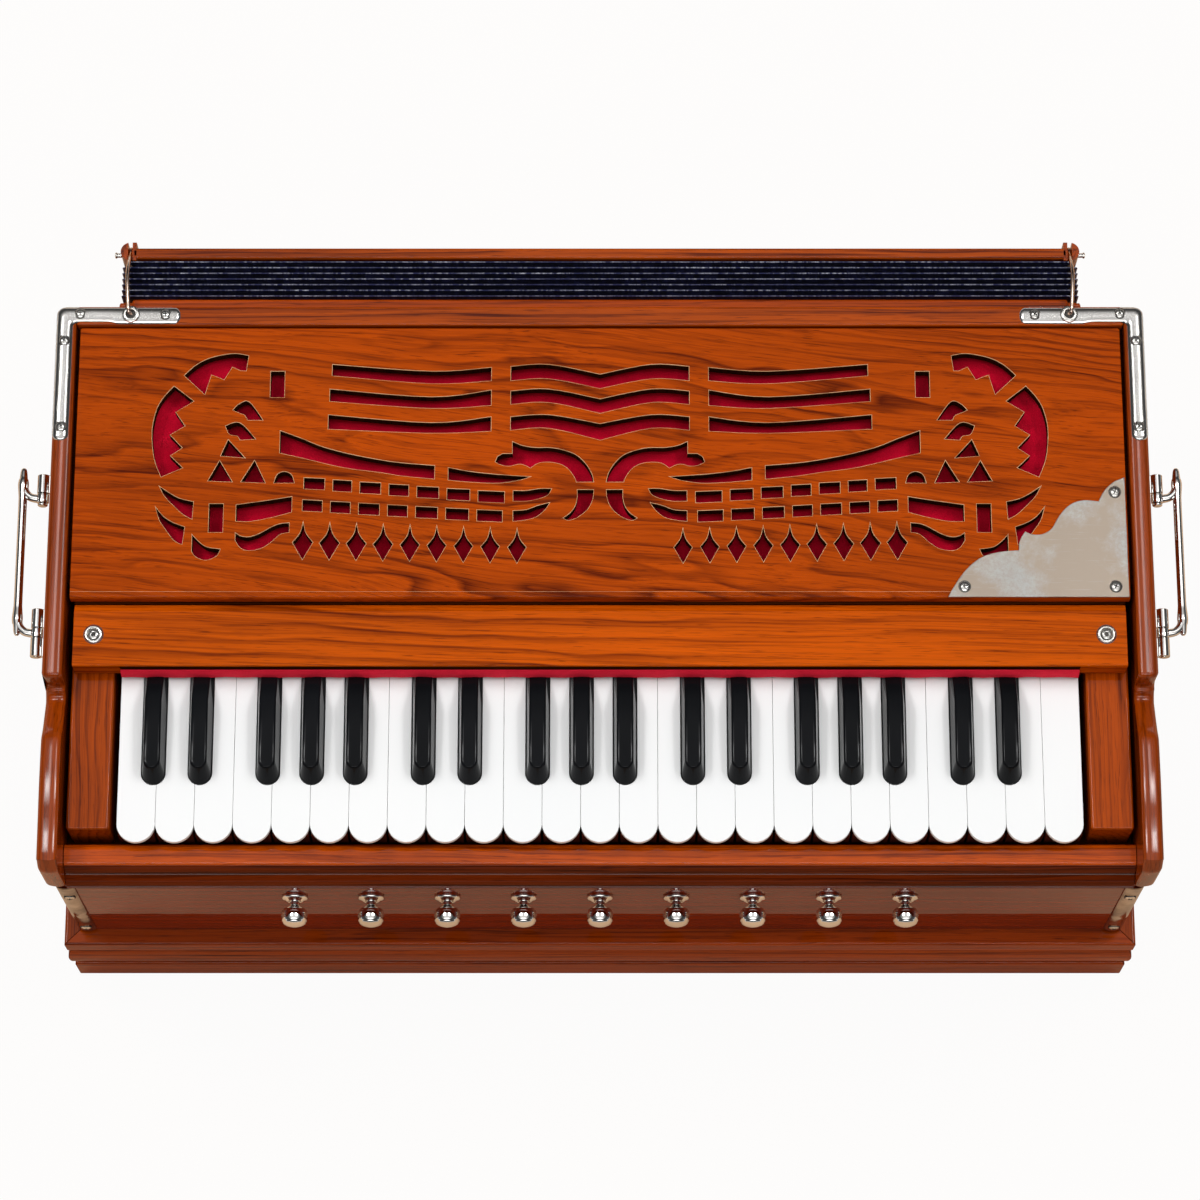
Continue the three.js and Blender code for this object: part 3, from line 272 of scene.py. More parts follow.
def leatherette(name, colour, glint, rough):
    """Coated bellows cloth: a grain of small pebbles, and pale blue flecks that are partly the cloth's wear and
    partly painted glints.
    """
    paint = Paint(name, Coat_Weight=0.12, Coat_Roughness=0.2, Specular_IOR_Level=0.22)
    cells = paint.fed("ShaderNodeTexVoronoi", (paint.place,), feature="F1")
    cells.inputs["Scale"].default_value = 900.0
    pebble = paint.ramp(cells.outputs["Distance"], (0.0, 1.0), (0.7, 0.0))
    worn_glints = paint.ramp(paint.streaks((430.0, 150.0, 150.0), 3.0, 0.6), (0.44, 0.0), (0.60, 1.0))
    spread = paint.ramp(paint.streaks((15.0, 170.0, 170.0), 2.0), (0.36, 0.12), (0.64, 1.0))
    worn_glints = paint.math("MULTIPLY", paint.math("MULTIPLY", worn_glints, spread), paint.scaled(pebble, 0.6, 0.4))
    paint.set("Base Color", paint.mix(worn_glints, colour, glint))
    paint.set("Roughness", paint.scaled(pebble, 0.15, rough))
    paint.set("Normal", paint.bump(pebble, 0.35, 0.00012))
    return paint.material


def plastic(name, colour, tint, rough, coat, bump=0.03):
    """Moulded or cut plastic: a slight change of tone and very fine handling marks."""
    paint = Paint(name, Specular_IOR_Level=0.05, Coat_Weight=coat, Coat_Roughness=0.03)
    patches = paint.ramp(paint.noise(paint.place, 9.0, 3.0), (0.3, 0.0), (0.7, 1.0))
    marks = paint.streaks((700.0, 50.0, 300.0), 3.0, 0.6)
    paint.set("Base Color", paint.mix(patches, colour, tint))
    paint.set("Roughness", paint.scaled(marks, rough * 0.5, rough * 0.75))
    paint.set("Normal", paint.bump(marks, bump, 0.0001))
    return paint.material


PANEL_LIGHT, PANEL_DARK = (0.50, 0.068, 0.0008), (0.105, 0.010, 0.0003)
DEEP_LIGHT, DEEP_DARK = (0.34, 0.048, 0.0012), (0.07, 0.008, 0.0004)
look = {
    "panel": wood("teak_panel", "X", PANEL_LIGHT, PANEL_DARK, 1.7, 150.0, (0.05, 0.20), 0.12, 0.028,
                  lean=0.11, marks=0.5, figure=1.7),
    "name": wood("teak_name_rail", "X", (0.58, 0.088, 0.0008), (0.13, 0.013, 0.0003), 4.1, 140.0,
                 (-0.10, 0.19), 0.14, lean=0.03, marks=0.6, figure=1.8),
    "rail": wood("teak_back_rail", "X", (0.42, 0.062, 0.001), (0.09, 0.009, 0.0004), 6.3, 170.0, (0.10, 0.20),
                 0.4),
    "block": wood("teak_block", "Y", (0.45, 0.066, 0.0012), (0.10, 0.011, 0.0005), 2.9, 160.0, (0.24, 0.17),
                  0.35, 0.02, marks=0.45, figure=1.3),
    "arm": wood("teak_arm", "Y", DEEP_LIGHT, DEEP_DARK, 5.2, 110.0, (0.27, 0.22), 0.8, 0.010, 0.10,
                tall=0.12, marks=0.6, figure=1.4, skin=0.07),
    "side": wood("teak_side", "Y", DEEP_LIGHT, DEEP_DARK, 8.8, 110.0, (0.22, 0.12), 0.4),
    "front": wood("teak_front", "X", (0.27, 0.026, 0.001), (0.10, 0.008, 0.0004), 3.3, 120.0, (-0.10, 0.05),
                  0.68, marks=0.6),
    "trim": wood("teak_trim", "X", (0.42, 0.055, 0.001), (0.09, 0.009, 0.0004), 7.4, 150.0, (-0.14, 0.18),
                 0.42, marks=0.8),
    # roll and shade: a lit and a shaded copy of the slip's teak, the roll's top lighter as painted light and
    # its sloping faces and lip darker as painted shade
    "roll": wood("teak_roll_painted_light", "X", (0.66, 0.092, 0.001), (0.16, 0.015, 0.0004), 6.1, 150.0, (-0.10, 0.18),
                 0.6, marks=0.7),
    "shade": wood("teak_slip_painted_shade", "X", (0.14, 0.017, 0.0008), (0.04, 0.005, 0.0004), 5.5, 150.0, (-0.12, 0.18),
                  0.22),
    "end": wood("teak_upright", "Z", DEEP_LIGHT, DEEP_DARK, 9.6, 120.0, (0.05, 0.10), 0.6),
    # stem: the stems' wood, also used for the balance rail, is darkened near black as painted shade in the gaps
    # between and under the keys
    "stem": wood("key_stem_wood_painted_shade", "Y", (0.07, 0.014, 0.008), (0.03, 0.006, 0.004), 0.4, 260.0, (0.02, 0.18),
                 0.0),
    # bed: near-black wood for the key bed and the boards inside, which also colours the painted shadow line
    # above the felt
    "bed": wood("key_bed_wood", "X", (0.05, 0.011, 0.002), (0.02, 0.004, 0.001), 0.9, 180.0, (0.0, 0.15),
                0.0),
    # edge and wall: the cut-outs' rounded rims are pale, partly the bare sawn wood's tone and partly a painted
    # highlight, and their upright walls are near black as painted shade
    "edge": wood("sawn_edge_painted_highlight", "X", (0.72, 0.42, 0.22), (0.5, 0.24, 0.1), 1.7, 165.0, (0.05, 0.20), 0.1),
    "wall": wood("cut_out_wall_painted_shade", "Z", (0.045, 0.010, 0.003), (0.016, 0.004, 0.001), 1.1, 165.0, (0.05, 0.2),
                 0.0),
    "felt": cloth("red_felt", (0.97, 0.024, 0.06), (0.80, 0.014, 0.04), 2600.0, 0.3),
    "velvet": cloth("crimson_cloth", (0.68, 0.004, 0.03), (0.40, 0.001, 0.014), 1500.0, 0.25),
    # bellows and ridge: the ridge cloth is a lighter copy with near-white flecks, painted light and glints
    # along the folds
    "bellows": leatherette("bellows_cloth", (0.002, 0.002, 0.005), (0.008, 0.009, 0.035), 0.45),
    "ridge": leatherette("bellows_ridge_painted_shine", (0.03, 0.034, 0.10), (0.80, 0.82, 0.92), 0.34),
    "white": plastic("white_key_plate", (0.95, 0.95, 0.945), (0.93, 0.935, 0.935), 0.14, 0.1),
    "black": plastic("black_key_cap", (0.0035, 0.0038, 0.0045), (0.006, 0.0065, 0.008), 0.12, 0.11, 0.01),
    "chrome": metal("bright_chrome", (0.84, 0.83, 0.81), (0.70, 0.68, 0.65), 0.035),
    "nickel": metal("nickel_plate", (0.74, 0.72, 0.69), (0.60, 0.58, 0.54), 0.20, 26.0, 0.08),
    "sheet": metal("polished_sheet", (0.80, 0.78, 0.755), (0.57, 0.55, 0.525), 0.12, 22.0, 0.04, 0.35),
    # strap: the plate is tinted dark brown as a painted reflection of dark brown surroundings
    "strap": metal("strap_painted_reflection", (0.50, 0.42, 0.34), (0.15, 0.10, 0.07), 0.09, 60.0, 0.06, 1.0),
    "wire": metal("nickel_wire", (0.74, 0.60, 0.52), (0.50, 0.36, 0.28), 0.08, 60.0, 0.02),
    "plate": plated_sheet(),
    # hollow: near-black metal used as painted shade in screw seats, gaps, recesses and the hook's eye
    "hollow": metal("screw_painted_shade", (0.12, 0.11, 0.10), (0.05, 0.05, 0.05), 0.5),
}


# Mesh tools

def add_piece(name, builder, looks):
    """A new object from a bmesh that is in the row's frame, with its materials."""
    mesh = bpy.data.meshes.new(name)
    builder.to_mesh(mesh)
    builder.free()
    for key in looks if isinstance(looks, tuple) else (looks,):
        mesh.materials.append(look[key])
    piece = bpy.data.objects.new(name, mesh)
    bpy.context.scene.collection.objects.link(piece)
    return piece


def finish_mesh(name, builder, looks, body, stands_for=(), bevel=0.0, steps=3, sharp=38):
    """Turns a bmesh in millimetres into a piece of the object."""
    bmesh.ops.recalc_face_normals(builder, faces=builder.faces[:])
    for vert in builder.verts:
        vert.co = at(*vert.co)
    piece = add_piece(name, builder, looks)
    piece.data.shade_smooth()
    if bevel:
        edge = piece.modifiers.new("edges", "BEVEL")
        edge.width = bevel * MM
        edge.segments = steps
        edge.limit_method = "ANGLE"
        edge.angle_limit = math.radians(sharp)
        edge.harden_normals = True
        edge.use_clamp_overlap = True
    else:
        piece.data.set_sharp_from_angle(angle=math.radians(sharp))
        level = piece.modifiers.new("flat faces", "WEIGHTED_NORMAL")
        level.keep_sharp = True
        level.weight = 90
    if body:
        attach(piece, body)
    if stands_for:
        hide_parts(*stands_for)
    return piece


def finish_screws(name, builder):
    finish_mesh(name, builder, ("nickel", "hollow"), "case")


def placed(axis, a, b, t):
    return {"x": (t, a, b), "y": (a, t, b), "z": (a, b, t)}[axis]


def arc(x, y, radius, start, end, steps):
    """Points round a circle from one angle to another."""
    angles = [start + (end - start) * k / steps for k in range(steps + 1)]
    return [(x + radius * math.cos(a), y + radius * math.sin(a)) for a in angles]


def join_rings(builder, rings, index=0, caps=(True, True), turn=False, out=False):
    """Joins closed rings of points, each a full one or a single point, and fills the end rings.
    index is one material, or a list with one for each step between rings and a last one for the ends.
    turn swaps the winding between the rings, and out that of the ends."""
    rings = [[builder.verts.new(point) for point in ring] for ring in rings]
    kinds = index if isinstance(index, list) else [index] * len(rings)
    ends = (rings[0][::-1], rings[-1]) if out else (rings[0], rings[-1][::-1])
    for end, wanted in zip(ends, caps):
        if wanted:
            builder.faces.new(end).material_index = kinds[-1]
    count = max(len(ring) for ring in rings)
    for kind, low, high in zip(kinds, rings, rings[1:]):
        for i in range(count):
            pair = (i + 1, i) if turn else (i, i + 1)
            corners = [low[k % count % len(low)] for k in pair]
            corners += [high[k % count % len(high)] for k in pair[::-1]]
            kept = list(dict.fromkeys(corners))
            if len(kept) > 2:
                builder.faces.new(kept).material_index = kind
    return rings


def add_prism(builder, outline, axis, low, high, index=0):
    """An outline in the two other axes, carried along one axis."""
    join_rings(builder, [[placed(axis, a, b, t) for a, b in outline] for t in (low, high)], index, turn=True)


def add_box(builder, x0, x1, y0, y1, z0, z1, index=0):
    add_prism(builder, [(x0, y0), (x1, y0), (x1, y1), (x0, y1)], "z", z0, z1, index)


def add_turned(builder, profile, axis, origin, sides=32, index=0):
    """A profile of (radius, distance) turned round an axis through the origin."""
    axis = Vector(axis).normalized()
    side = axis.orthogonal().normalized()
    other = axis.cross(side)
    ways = [side * math.cos(a) + other * math.sin(a) for a in (2 * math.pi * i / sides for i in range(sides))]
    rings = []
    for radius, along in profile:
        middle = Vector(origin) + axis * along
        rings.append([middle + way * radius for way in ways] if radius else [middle])
    join_rings(builder, rings, index, (False, False))


def spline(points, steps):
    """A smooth line through the points, as three.js draws one."""
    points = [Vector(p) for p in points]
    line = []
    total = steps * (len(points) - 1)
    for k in range(total + 1):
        i, t = divmod(k / steps, 1)
        i = int(i)
        if i == len(points) - 1:
            i, t = i - 1, 1.0
        p = [points[max(i - 1, 0)], points[i], points[i + 1], points[min(i + 2, len(points) - 1)]]
        v0, v1 = (p[2] - p[0]) / 2, (p[3] - p[1]) / 2
        line.append((2 * p[1] - 2 * p[2] + v0 + v1) * t**3
                    + (-3 * p[1] + 3 * p[2] - 2 * v0 - v1) * t**2 + v0 * t + p[1])
    return line


def add_tube(builder, points, radius, sides=14):
    """A round bar along a line of points, with rounded ends. radius is a size, or gives one for each share."""
    line = [Vector(p) for p in points]
    size = radius if callable(radius) else lambda share: radius
    normal = (line[1] - line[0]).orthogonal().normalized()
    rings, last = [], len(line) - 1
    for i, middle in enumerate(line):
        ahead = (line[min(i + 1, last)] - line[max(i - 1, 0)]).normalized()
        normal = (normal - ahead * normal.dot(ahead)).normalized()
        other = ahead.cross(normal)
        r = size(i / last)
        caps = [(0.0, 1.0)]
        if i == 0:
            caps = [(-1.0, 0.35), (-0.6, 0.8), (0.0, 1.0)]
        elif i == last:
            caps = [(0.0, 1.0), (0.6, 0.8), (1.0, 0.35)]
        for push, wide in caps:
            centre = middle + ahead * push * r * 0.6
            rings.append([centre + (normal * math.cos(a) + other * math.sin(a)) * r * wide
                          for a in (2 * math.pi * k / sides for k in range(sides))])
    join_rings(builder, rings, out=True)


def rounded(points, radius, steps=4):
    """The closed outline with its corners rounded. radius is one size or one for each corner."""
    made = []
    count = len(points)
    for i, point in enumerate(points):
        wanted = radius[i] if isinstance(radius, (list, tuple)) else radius
        corner = Vector(point)
        if wanted <= 0:
            made.append(tuple(corner))
            continue
        before = Vector(points[i - 1]) - corner
        after = Vector(points[(i + 1) % count]) - corner
        half = before.angle(after) / 2
        reach = min(wanted / math.tan(half), before.length * 0.49, after.length * 0.49)
        size = reach * math.tan(half)
        middle = corner + (before.normalized() + after.normalized()).normalized() * size / math.sin(half)
        start = corner + before.normalized() * reach - middle
        end = corner + after.normalized() * reach - middle
        for k in range(steps + 1):
            way = start.lerp(end, k / steps).normalized() * size
            made.append(tuple(middle + way))
    return made


def add_screw(builder, x, y, z, facing, radius=3.1):
    """A raised countersunk screw head with a cross recess, in a seat; the seat and the recess are near black as
    painted shade.
    """
    facing, spot, dark = Vector(facing), Vector((x, y, z)), 1
    seat = [(radius + 0.55, -0.9), (radius + 0.55, 0.12), (radius - 0.2, 0.14), (0, 0.14)]
    add_turned(builder, seat, facing, spot, 24, dark)
    head = [(radius - 0.1, 0.0), (radius, 0.2), (radius * 0.93, 0.5), (radius * 0.7, 0.85),
            (radius * 0.4, 1.1), (0, 1.18)]
    add_turned(builder, head, facing, spot, 24)
    side = facing.orthogonal().normalized()
    turned = side * math.cos(x + y) + facing.cross(side) * math.sin(x + y)
    across = facing.cross(turned)
    for a, b in ((turned, across), (across, turned)):
        a, b, base = a * radius * 0.5, b * radius * 0.1, spot + facing * 0.6
        join_rings(builder, [[base + facing * lift + p for p in (-a - b, a - b, a + b, -a + b)]
                             for lift in (0, 0.62)], dark, out=True)


# The case: plinth, body, slip, arms, blocks, rails and the inside

def plinth():
    """Four mitred runs of the base moulding: a square band, a bold roll, a groove and a rounded foot."""
    face, neck, back, gap = 9.7, 6.7, -12, 0.3
    outline = [(face, PLINTH_TOP), (face, 66.0), (neck, 66.0), (neck, 61.0)]
    outline += [(7.3 + 3.6 * math.sin(a), 47.0 + 14 * math.cos(a))
                for a in (math.pi * i / 12 for i in range(1, 12))]
    outline += [(neck, 33.0), (neck, 28.0), (face, 28.0), (face, 0.0), (back, 0), (back, PLINTH_TOP)]
    outline = rounded(outline, [1.6, 0.9, 0.4, 0.3] + [0] * 11 + [0.3, 0.4, 2.2, 2.2, 0, 0], 3)
    for kind, name in enumerate(("front", "back", "left", "right")):
        rings = [[], []]
        for out, z in outline:
            x, front, rear = BODY_HALF + out, -out, BODY_BACK + out
            ends = (((gap - x, front), (x - gap, front)), ((x - gap, rear), (gap - x, rear)),
                    ((-x, rear - gap), (-x, front + gap)), ((x, front + gap), (x, rear - gap)))[kind]
            for ring, (a, b) in zip(rings, ends):
                ring.append((a, b, z))
        builder = bmesh.new()
        join_rings(builder, rings, turn=True)
        stands = ("case",) if kind == 0 else ()
        finish_mesh(f"plinth_{name}", builder, "trim" if kind < 2 else "side", "case", stands)


def body_boards():
    half, low, back, top = BODY_HALF, BODY_BOTTOM, BODY_BACK - BOARD, FRET_BOTTOM - 0.3
    inset = BOARD + 0.2
    boards = {
        "front_panel": ((-half, half, 0, BOARD, low, SLIP_BOTTOM + 1), "front"),
        "rear_panel": ((-half, half, back, BODY_BACK, low, FRET_BOTTOM), "rail"),
        "side_panel_left": ((-half, -half + BOARD, inset, BODY_BACK - inset, low, SLIP_BOTTOM), "side"),
        "side_panel_right": ((half - BOARD, half, inset, BODY_BACK - inset, low, SLIP_BOTTOM), "side"),
        "back_rail": ((-ARM_IN + 0.2, ARM_IN - 0.2, BACK_RAIL_FRONT, BODY_BACK, FRET_BOTTOM + 0.2, WALL_TOP),
                      "rail"),
        "bellows_inner_board": ((-272.1, 272.1, BODY_BACK, INNER_BACK, BELLOWS_BOTTOM, BELLOWS_TOP), "trim"),
        "key_bed": ((-ARM_IN, ARM_IN, SLIP_DEPTH, BAY_BACK, BAY_FLOOR - 10, BAY_FLOOR), "bed"),
        "balance_rail": ((-BLOCK_IN, BLOCK_IN, 152.3, 155.3, BAY_FLOOR, STEM_BOTTOM - 0.3), "stem"),
        "chamber_board": ((-ARM_IN, ARM_IN, BAY_BACK, back, 236, CHAMBER_FLOOR), "bed"),
        "chamber_front": ((-ARM_IN, ARM_IN, BAY_BACK, CHAMBER_FRONT, BAY_FLOOR, top), "bed"),
        "chamber_back": ((-ARM_IN, ARM_IN, CHAMBER_END, back, CHAMBER_FLOOR, top), "bed"),
        "chamber_left": ((-ARM_IN, -CHAMBER_HALF, CHAMBER_FRONT, CHAMBER_END, CHAMBER_FLOOR, top), "bed"),
        "chamber_right": ((CHAMBER_HALF, ARM_IN, CHAMBER_FRONT, CHAMBER_END, CHAMBER_FLOOR, top), "bed"),
        "bottom_board": ((-half + 1, half - 1, 1, BODY_BACK - 1, 0.2, 8), "bed"),
    }
    for name, (corners, key) in boards.items():
        builder = bmesh.new()
        add_box(builder, *corners)
        bevel = 1.6 if name in ("back_rail", "bellows_inner_board") else 0.8
        finish_mesh(name, builder, key, "case", bevel=bevel)


def slip():
    """The moulding under the keys' fronts: a low roll on top, two sloping faces with a groove, and a lip."""
    outline = [
        (17.6, 196), (17.6, 217.2), (17.0, 218.1), (15.4, 218.8), (13.6, 219.0), (12.2, 218.9), (11.4, 218.5),
        (10.8, 218.55), (8.6, 218.5), (6.9, 218.1), (6.1, 217.5), (5.7, 216.9), (5.2, 216.7), (3.6, 214.6),
        (2.6, 212.6), (2.3, 211.6), (2.9, 210.9), (2.9, 210.2), (1.9, 209.9), (0.6, 209.0), (-1.2, 207.2),
        (-2.6, 205.0), (-3.1, 203.6), (-3.0, 202.6), (-3.8, 202.2), (-3.9, 201.2), (-3.6, 200.3),
        (-2.8, 200.0), (1, 200.0), (1, 196),
    ]
    builder = bmesh.new()
    add_prism(builder, outline, "x", -ARM_IN + 0.3, ARM_IN - 0.3)
    # faces below the roll's top take the dark copy of the wood as painted shade, the top the lighter copy as
    # painted light
    for face in builder.faces:
        face.material_index = 1 if face.calc_center_median().z < 217.2 else 0
    finish_mesh("key_slip", builder, ("roll", "shade"), "case", sharp=32)


def drawn_in(outline, depth):
    """The closed outline, moved inwards by a depth at each of its points."""
    turn = sum(a[0] * b[1] - b[0] * a[1] for a, b in zip(outline, outline[1:] + outline[:1]))
    made = []
    for i, point in enumerate(outline):
        before = (Vector(point) - Vector(outline[i - 1])).normalized()
        after = (Vector(outline[(i + 1) % len(outline)]) - Vector(point)).normalized()
        ahead = (before + after).normalized()
        inward = Vector((-ahead.y, ahead.x)) * (1 if turn > 0 else -1)
        reach = depth / max(0.75, ahead.dot(after))
        made.append(tuple(Vector(point) + inward * reach))
    return made


def arms():
    """The side walls, each one board with a hollow and a long swell down to its round nose.
    The top is crowned on its outer side and has a crisp inner edge."""
    top, hollow, nose, bottom = SLIP_TOP + 31, 14, -3.8, SLIP_BOTTOM - 6
    shares = [(0.785, 0.5), (0.709, 0.136), (0.656, 0.06), (0.575, 0.032), (0.498, 0.014), (0.412, 0.014),
              (0.326, 0.039), (0.268, 0.068), (0.23, 0.086), (0.172, 0.107), (0.125, 0.116), (0.077, 0.125),
              (0.038, 0.139), (0.01, 0.168)]
    low = top - hollow
    swell = [(STEP_Y * 0.93, low)] + [(STEP_Y * along, top - hollow * down) for along, down in shares]
    swell = spline(swell, 4)
    outline = rounded([(BODY_BACK, bottom), (BODY_BACK, WALL_TOP), (STEP_Y, WALL_TOP), (STEP_Y, low + 5.6)],
                      [1, 3.2, 3.2, 0], 5)
    outline += [(STEP_Y - back, low + up) for back, up in (
        (0.5, 4.1), (1.3, 3.5), (2.2, 3.6), (2.9, 3.2), (3.4, 2.2), (4.2, 1.1), (5.4, 0.4))]
    outline += [tuple(p) for p in swell]
    outline += rounded([(STEP_Y * 0.01, top - hollow * 0.168), (nose, top - 12), (nose, bottom),
                        (BODY_BACK, bottom)],
                       [0, 9, 12, 0], 8)[1:-1]
    wide = ARM_OUT - ARM_IN
    flat, crown, edge = 3.5, 22, 3.56
    reach = wide - 0.758 * edge
    lean = (reach - flat) / crown
    section = []
    for k in range(9):
        angle = math.pi / 2 + (lean - math.pi / 2) * k / 8
        drop = (reach - flat) ** 2 / (2 * crown) + edge * (math.cos(lean) - math.cos(angle))
        section.append((ARM_IN + reach + edge * (math.sin(angle) - math.sin(lean)), drop))
    for k in range(1, 6):
        across = flat + (reach - flat) * (1 - k / 5)
        section.append((ARM_IN + across, (across - flat) ** 2 / (2 * crown)))
    section += [(ARM_IN + wide * share, drop)
                for share, drop in ((0.16, 0.25), (0.09, 0.6), (0.045, 0.95), (0.012, 1.4), (0, 2.2))]
    for side, name in SIDES:
        builder = bmesh.new()
        join_rings(builder, [[(side * x, *p) for p in drawn_in(outline, drop)] for x, drop in section])
        finish_mesh(f"side_wall_{name}", builder, "arm", "case", sharp=50)


def key_blocks():
    for side, name in SIDES:
        builder = bmesh.new()
        ends = sorted((side * BLOCK_IN, side * BLOCK_OUT))
        add_box(builder, *ends, BLOCK_FRONT, BAY_BACK, BAY_FLOOR, BLOCK_TOP)
        finish_mesh(f"key_block_{name}", builder, "block", "case", bevel=1.5, steps=4)


def chamber_cloth():
    """The crimson cloth under the fret panel, stretched over its board with faint waves."""
    builder = bmesh.new()
    nx, ny = 120, 40
    gap = 0.4
    x0, x1, y0, y1 = gap - CHAMBER_HALF, CHAMBER_HALF - gap, CHAMBER_FRONT + gap, CHAMBER_END - gap
    layers = []
    for lift in (0.0, 0.6):
        rows = []
        for j in range(ny + 1):
            row = []
            for i in range(nx + 1):
                x, y = x0 + (x1 - x0) * i / nx, y0 + (y1 - y0) * j / ny
                wave = 0.22 * math.sin(x * 0.09 + math.sin(y * 0.05) * 2) + 0.14 * math.sin(y * 0.21 + x * 0.02)
                row.append(builder.verts.new((x, y, 243.1 + lift + wave)))
            rows.append(row)
        layers.append(rows)
    for rows, turn in zip(layers, (True, False)):
        for j in range(ny):
            for i in range(nx):
                quad = (rows[j][i], rows[j][i + 1], rows[j + 1][i + 1], rows[j + 1][i])
                builder.faces.new(quad[::-1] if turn else quad)
    low, high = layers
    rim = [(0, i) for i in range(nx)] + [(j, nx) for j in range(ny)]
    rim += [(ny, i) for i in range(nx, 0, -1)] + [(j, 0) for j in range(ny, 0, -1)]
    for (j0, i0), (j1, i1) in zip(rim, rim[1:] + rim[:1]):
        builder.faces.new((low[j0][i0], low[j1][i1], high[j1][i1], high[j0][i0]))
    piece = finish_mesh("fret_cloth", builder, "velvet", "case")


def felt_strip():
    """The felt along the name rail's foot, a little uneven as cut felt is, and a dark strip painted as a shadow
    line on the rail's face above it.
    """
    outline = rounded([(110.7, 235.7), (113.3, 235.7), (113.3, 243.6), (112.4, 243.2), (111.3, 240.9),
                       (110.8, 238)],
                      [0.4, 0, 0.2, 0.4, 0.6, 0.6], 3)
    builder = bmesh.new()
    count, half = 110, 272
    rings = []
    for k in range(count + 1):
        x = -half + 2 * half * k / count
        push = 0.16 * math.sin(k * 1.7) + 0.1 * math.sin(k * 0.61)
        rings.append([(x, y + (push if y < 112 else 0), z + push * 0.3) for y, z in outline])
    join_rings(builder, rings, turn=True)
    finish_mesh("felt_strip", builder, "felt", "case", sharp=60)
    # a thin near-black strip on the rail's face above the felt, a painted shadow line
    builder = bmesh.new()
    add_box(builder, -half, half, RAIL_FRONT - 0.25, RAIL_FRONT + 0.1, 243.7, RAIL_TOP - 1.3)
    finish_mesh("rail_painted_shadow_line", builder, "bed", "case")


def name_rail():
    outline = rounded([(RAIL_FRONT, RAIL_BOTTOM), (RAIL_BACK, RAIL_BOTTOM), (RAIL_BACK, RAIL_TOP - 2.2),
                       (RAIL_BACK - 3.9, RAIL_TOP - 0.5), (RAIL_BACK - 4.3, RAIL_TOP),
                       (RAIL_FRONT, RAIL_TOP)],
                      [0.5, 0.5, 1.1, 0.3, 0.3, 1.1], 5)
    builder = bmesh.new()
    add_prism(builder, outline, "x", -NAME_HALF, NAME_HALF)
    finish_mesh("name_board", builder, "name", "case", ("name_rail",), bevel=0.7, sharp=60)
    builder = bmesh.new()
    seat = [(5.75, -0.5), (5.75, 0.1), (4.9, 0.12), (0, 0.12)]
    washer = [(3.5, 0.0), (3.5, 0.5), (3.9, 0.95), (4.5, 1.05), (5.1, 0.8), (5.4, 0.3), (5.4, 0.0)]
    gap = [(3.55, 0.3), (3.1, 0.32), (0, 0.32)]
    head = [(3.0, 0.3), (3.0, 0.6), (2.6, 0.95), (1.6, 1.15), (1.2, 0.9), (0, 0.9)]
    recess = [(1.25, 0.88), (1.05, 0.95), (0, 0.95)]
    # the seat, the gap under the washer and the head's recess take the dark metal as painted shade
    for side in (-1, 1):
        for profile, sides, dark in ((seat, 40, 1), (washer, 40, 0), (gap, 32, 1), (head, 32, 0),
                                     (recess, 20, 1)):
            add_turned(builder, profile, (0, 0, 1), (side * 287.2, 132.1, RAIL_TOP), sides, dark)
    finish_screws("name_rail_screws", builder)
    builder = bmesh.new()
    add_box(builder, -FRET_HALF + 2, FRET_HALF - 2, RAIL_BACK + 0.25, BAY_BACK - 0.1, 233.6,
            FRET_BOTTOM - 0.3)
    finish_mesh("key_cover_batten", builder, "bed", "case", bevel=0.3, steps=1)


# The fret panel: the cut-outs of its left half, in the photograph's pixels

MIDDLE, HALF, TOP, BOTTOM = 599.5, 525, 328, 598


def onto_board(across, down, side):
    x = side * (MIDDLE - across) * FRET_HALF / HALF
    return Vector((x, FRET_BACK - (down - TOP) / (BOTTOM - TOP) * (FRET_BACK - FRET_FRONT)))


def curve(*points):
    return True, points


def line(*points):
    return False, points


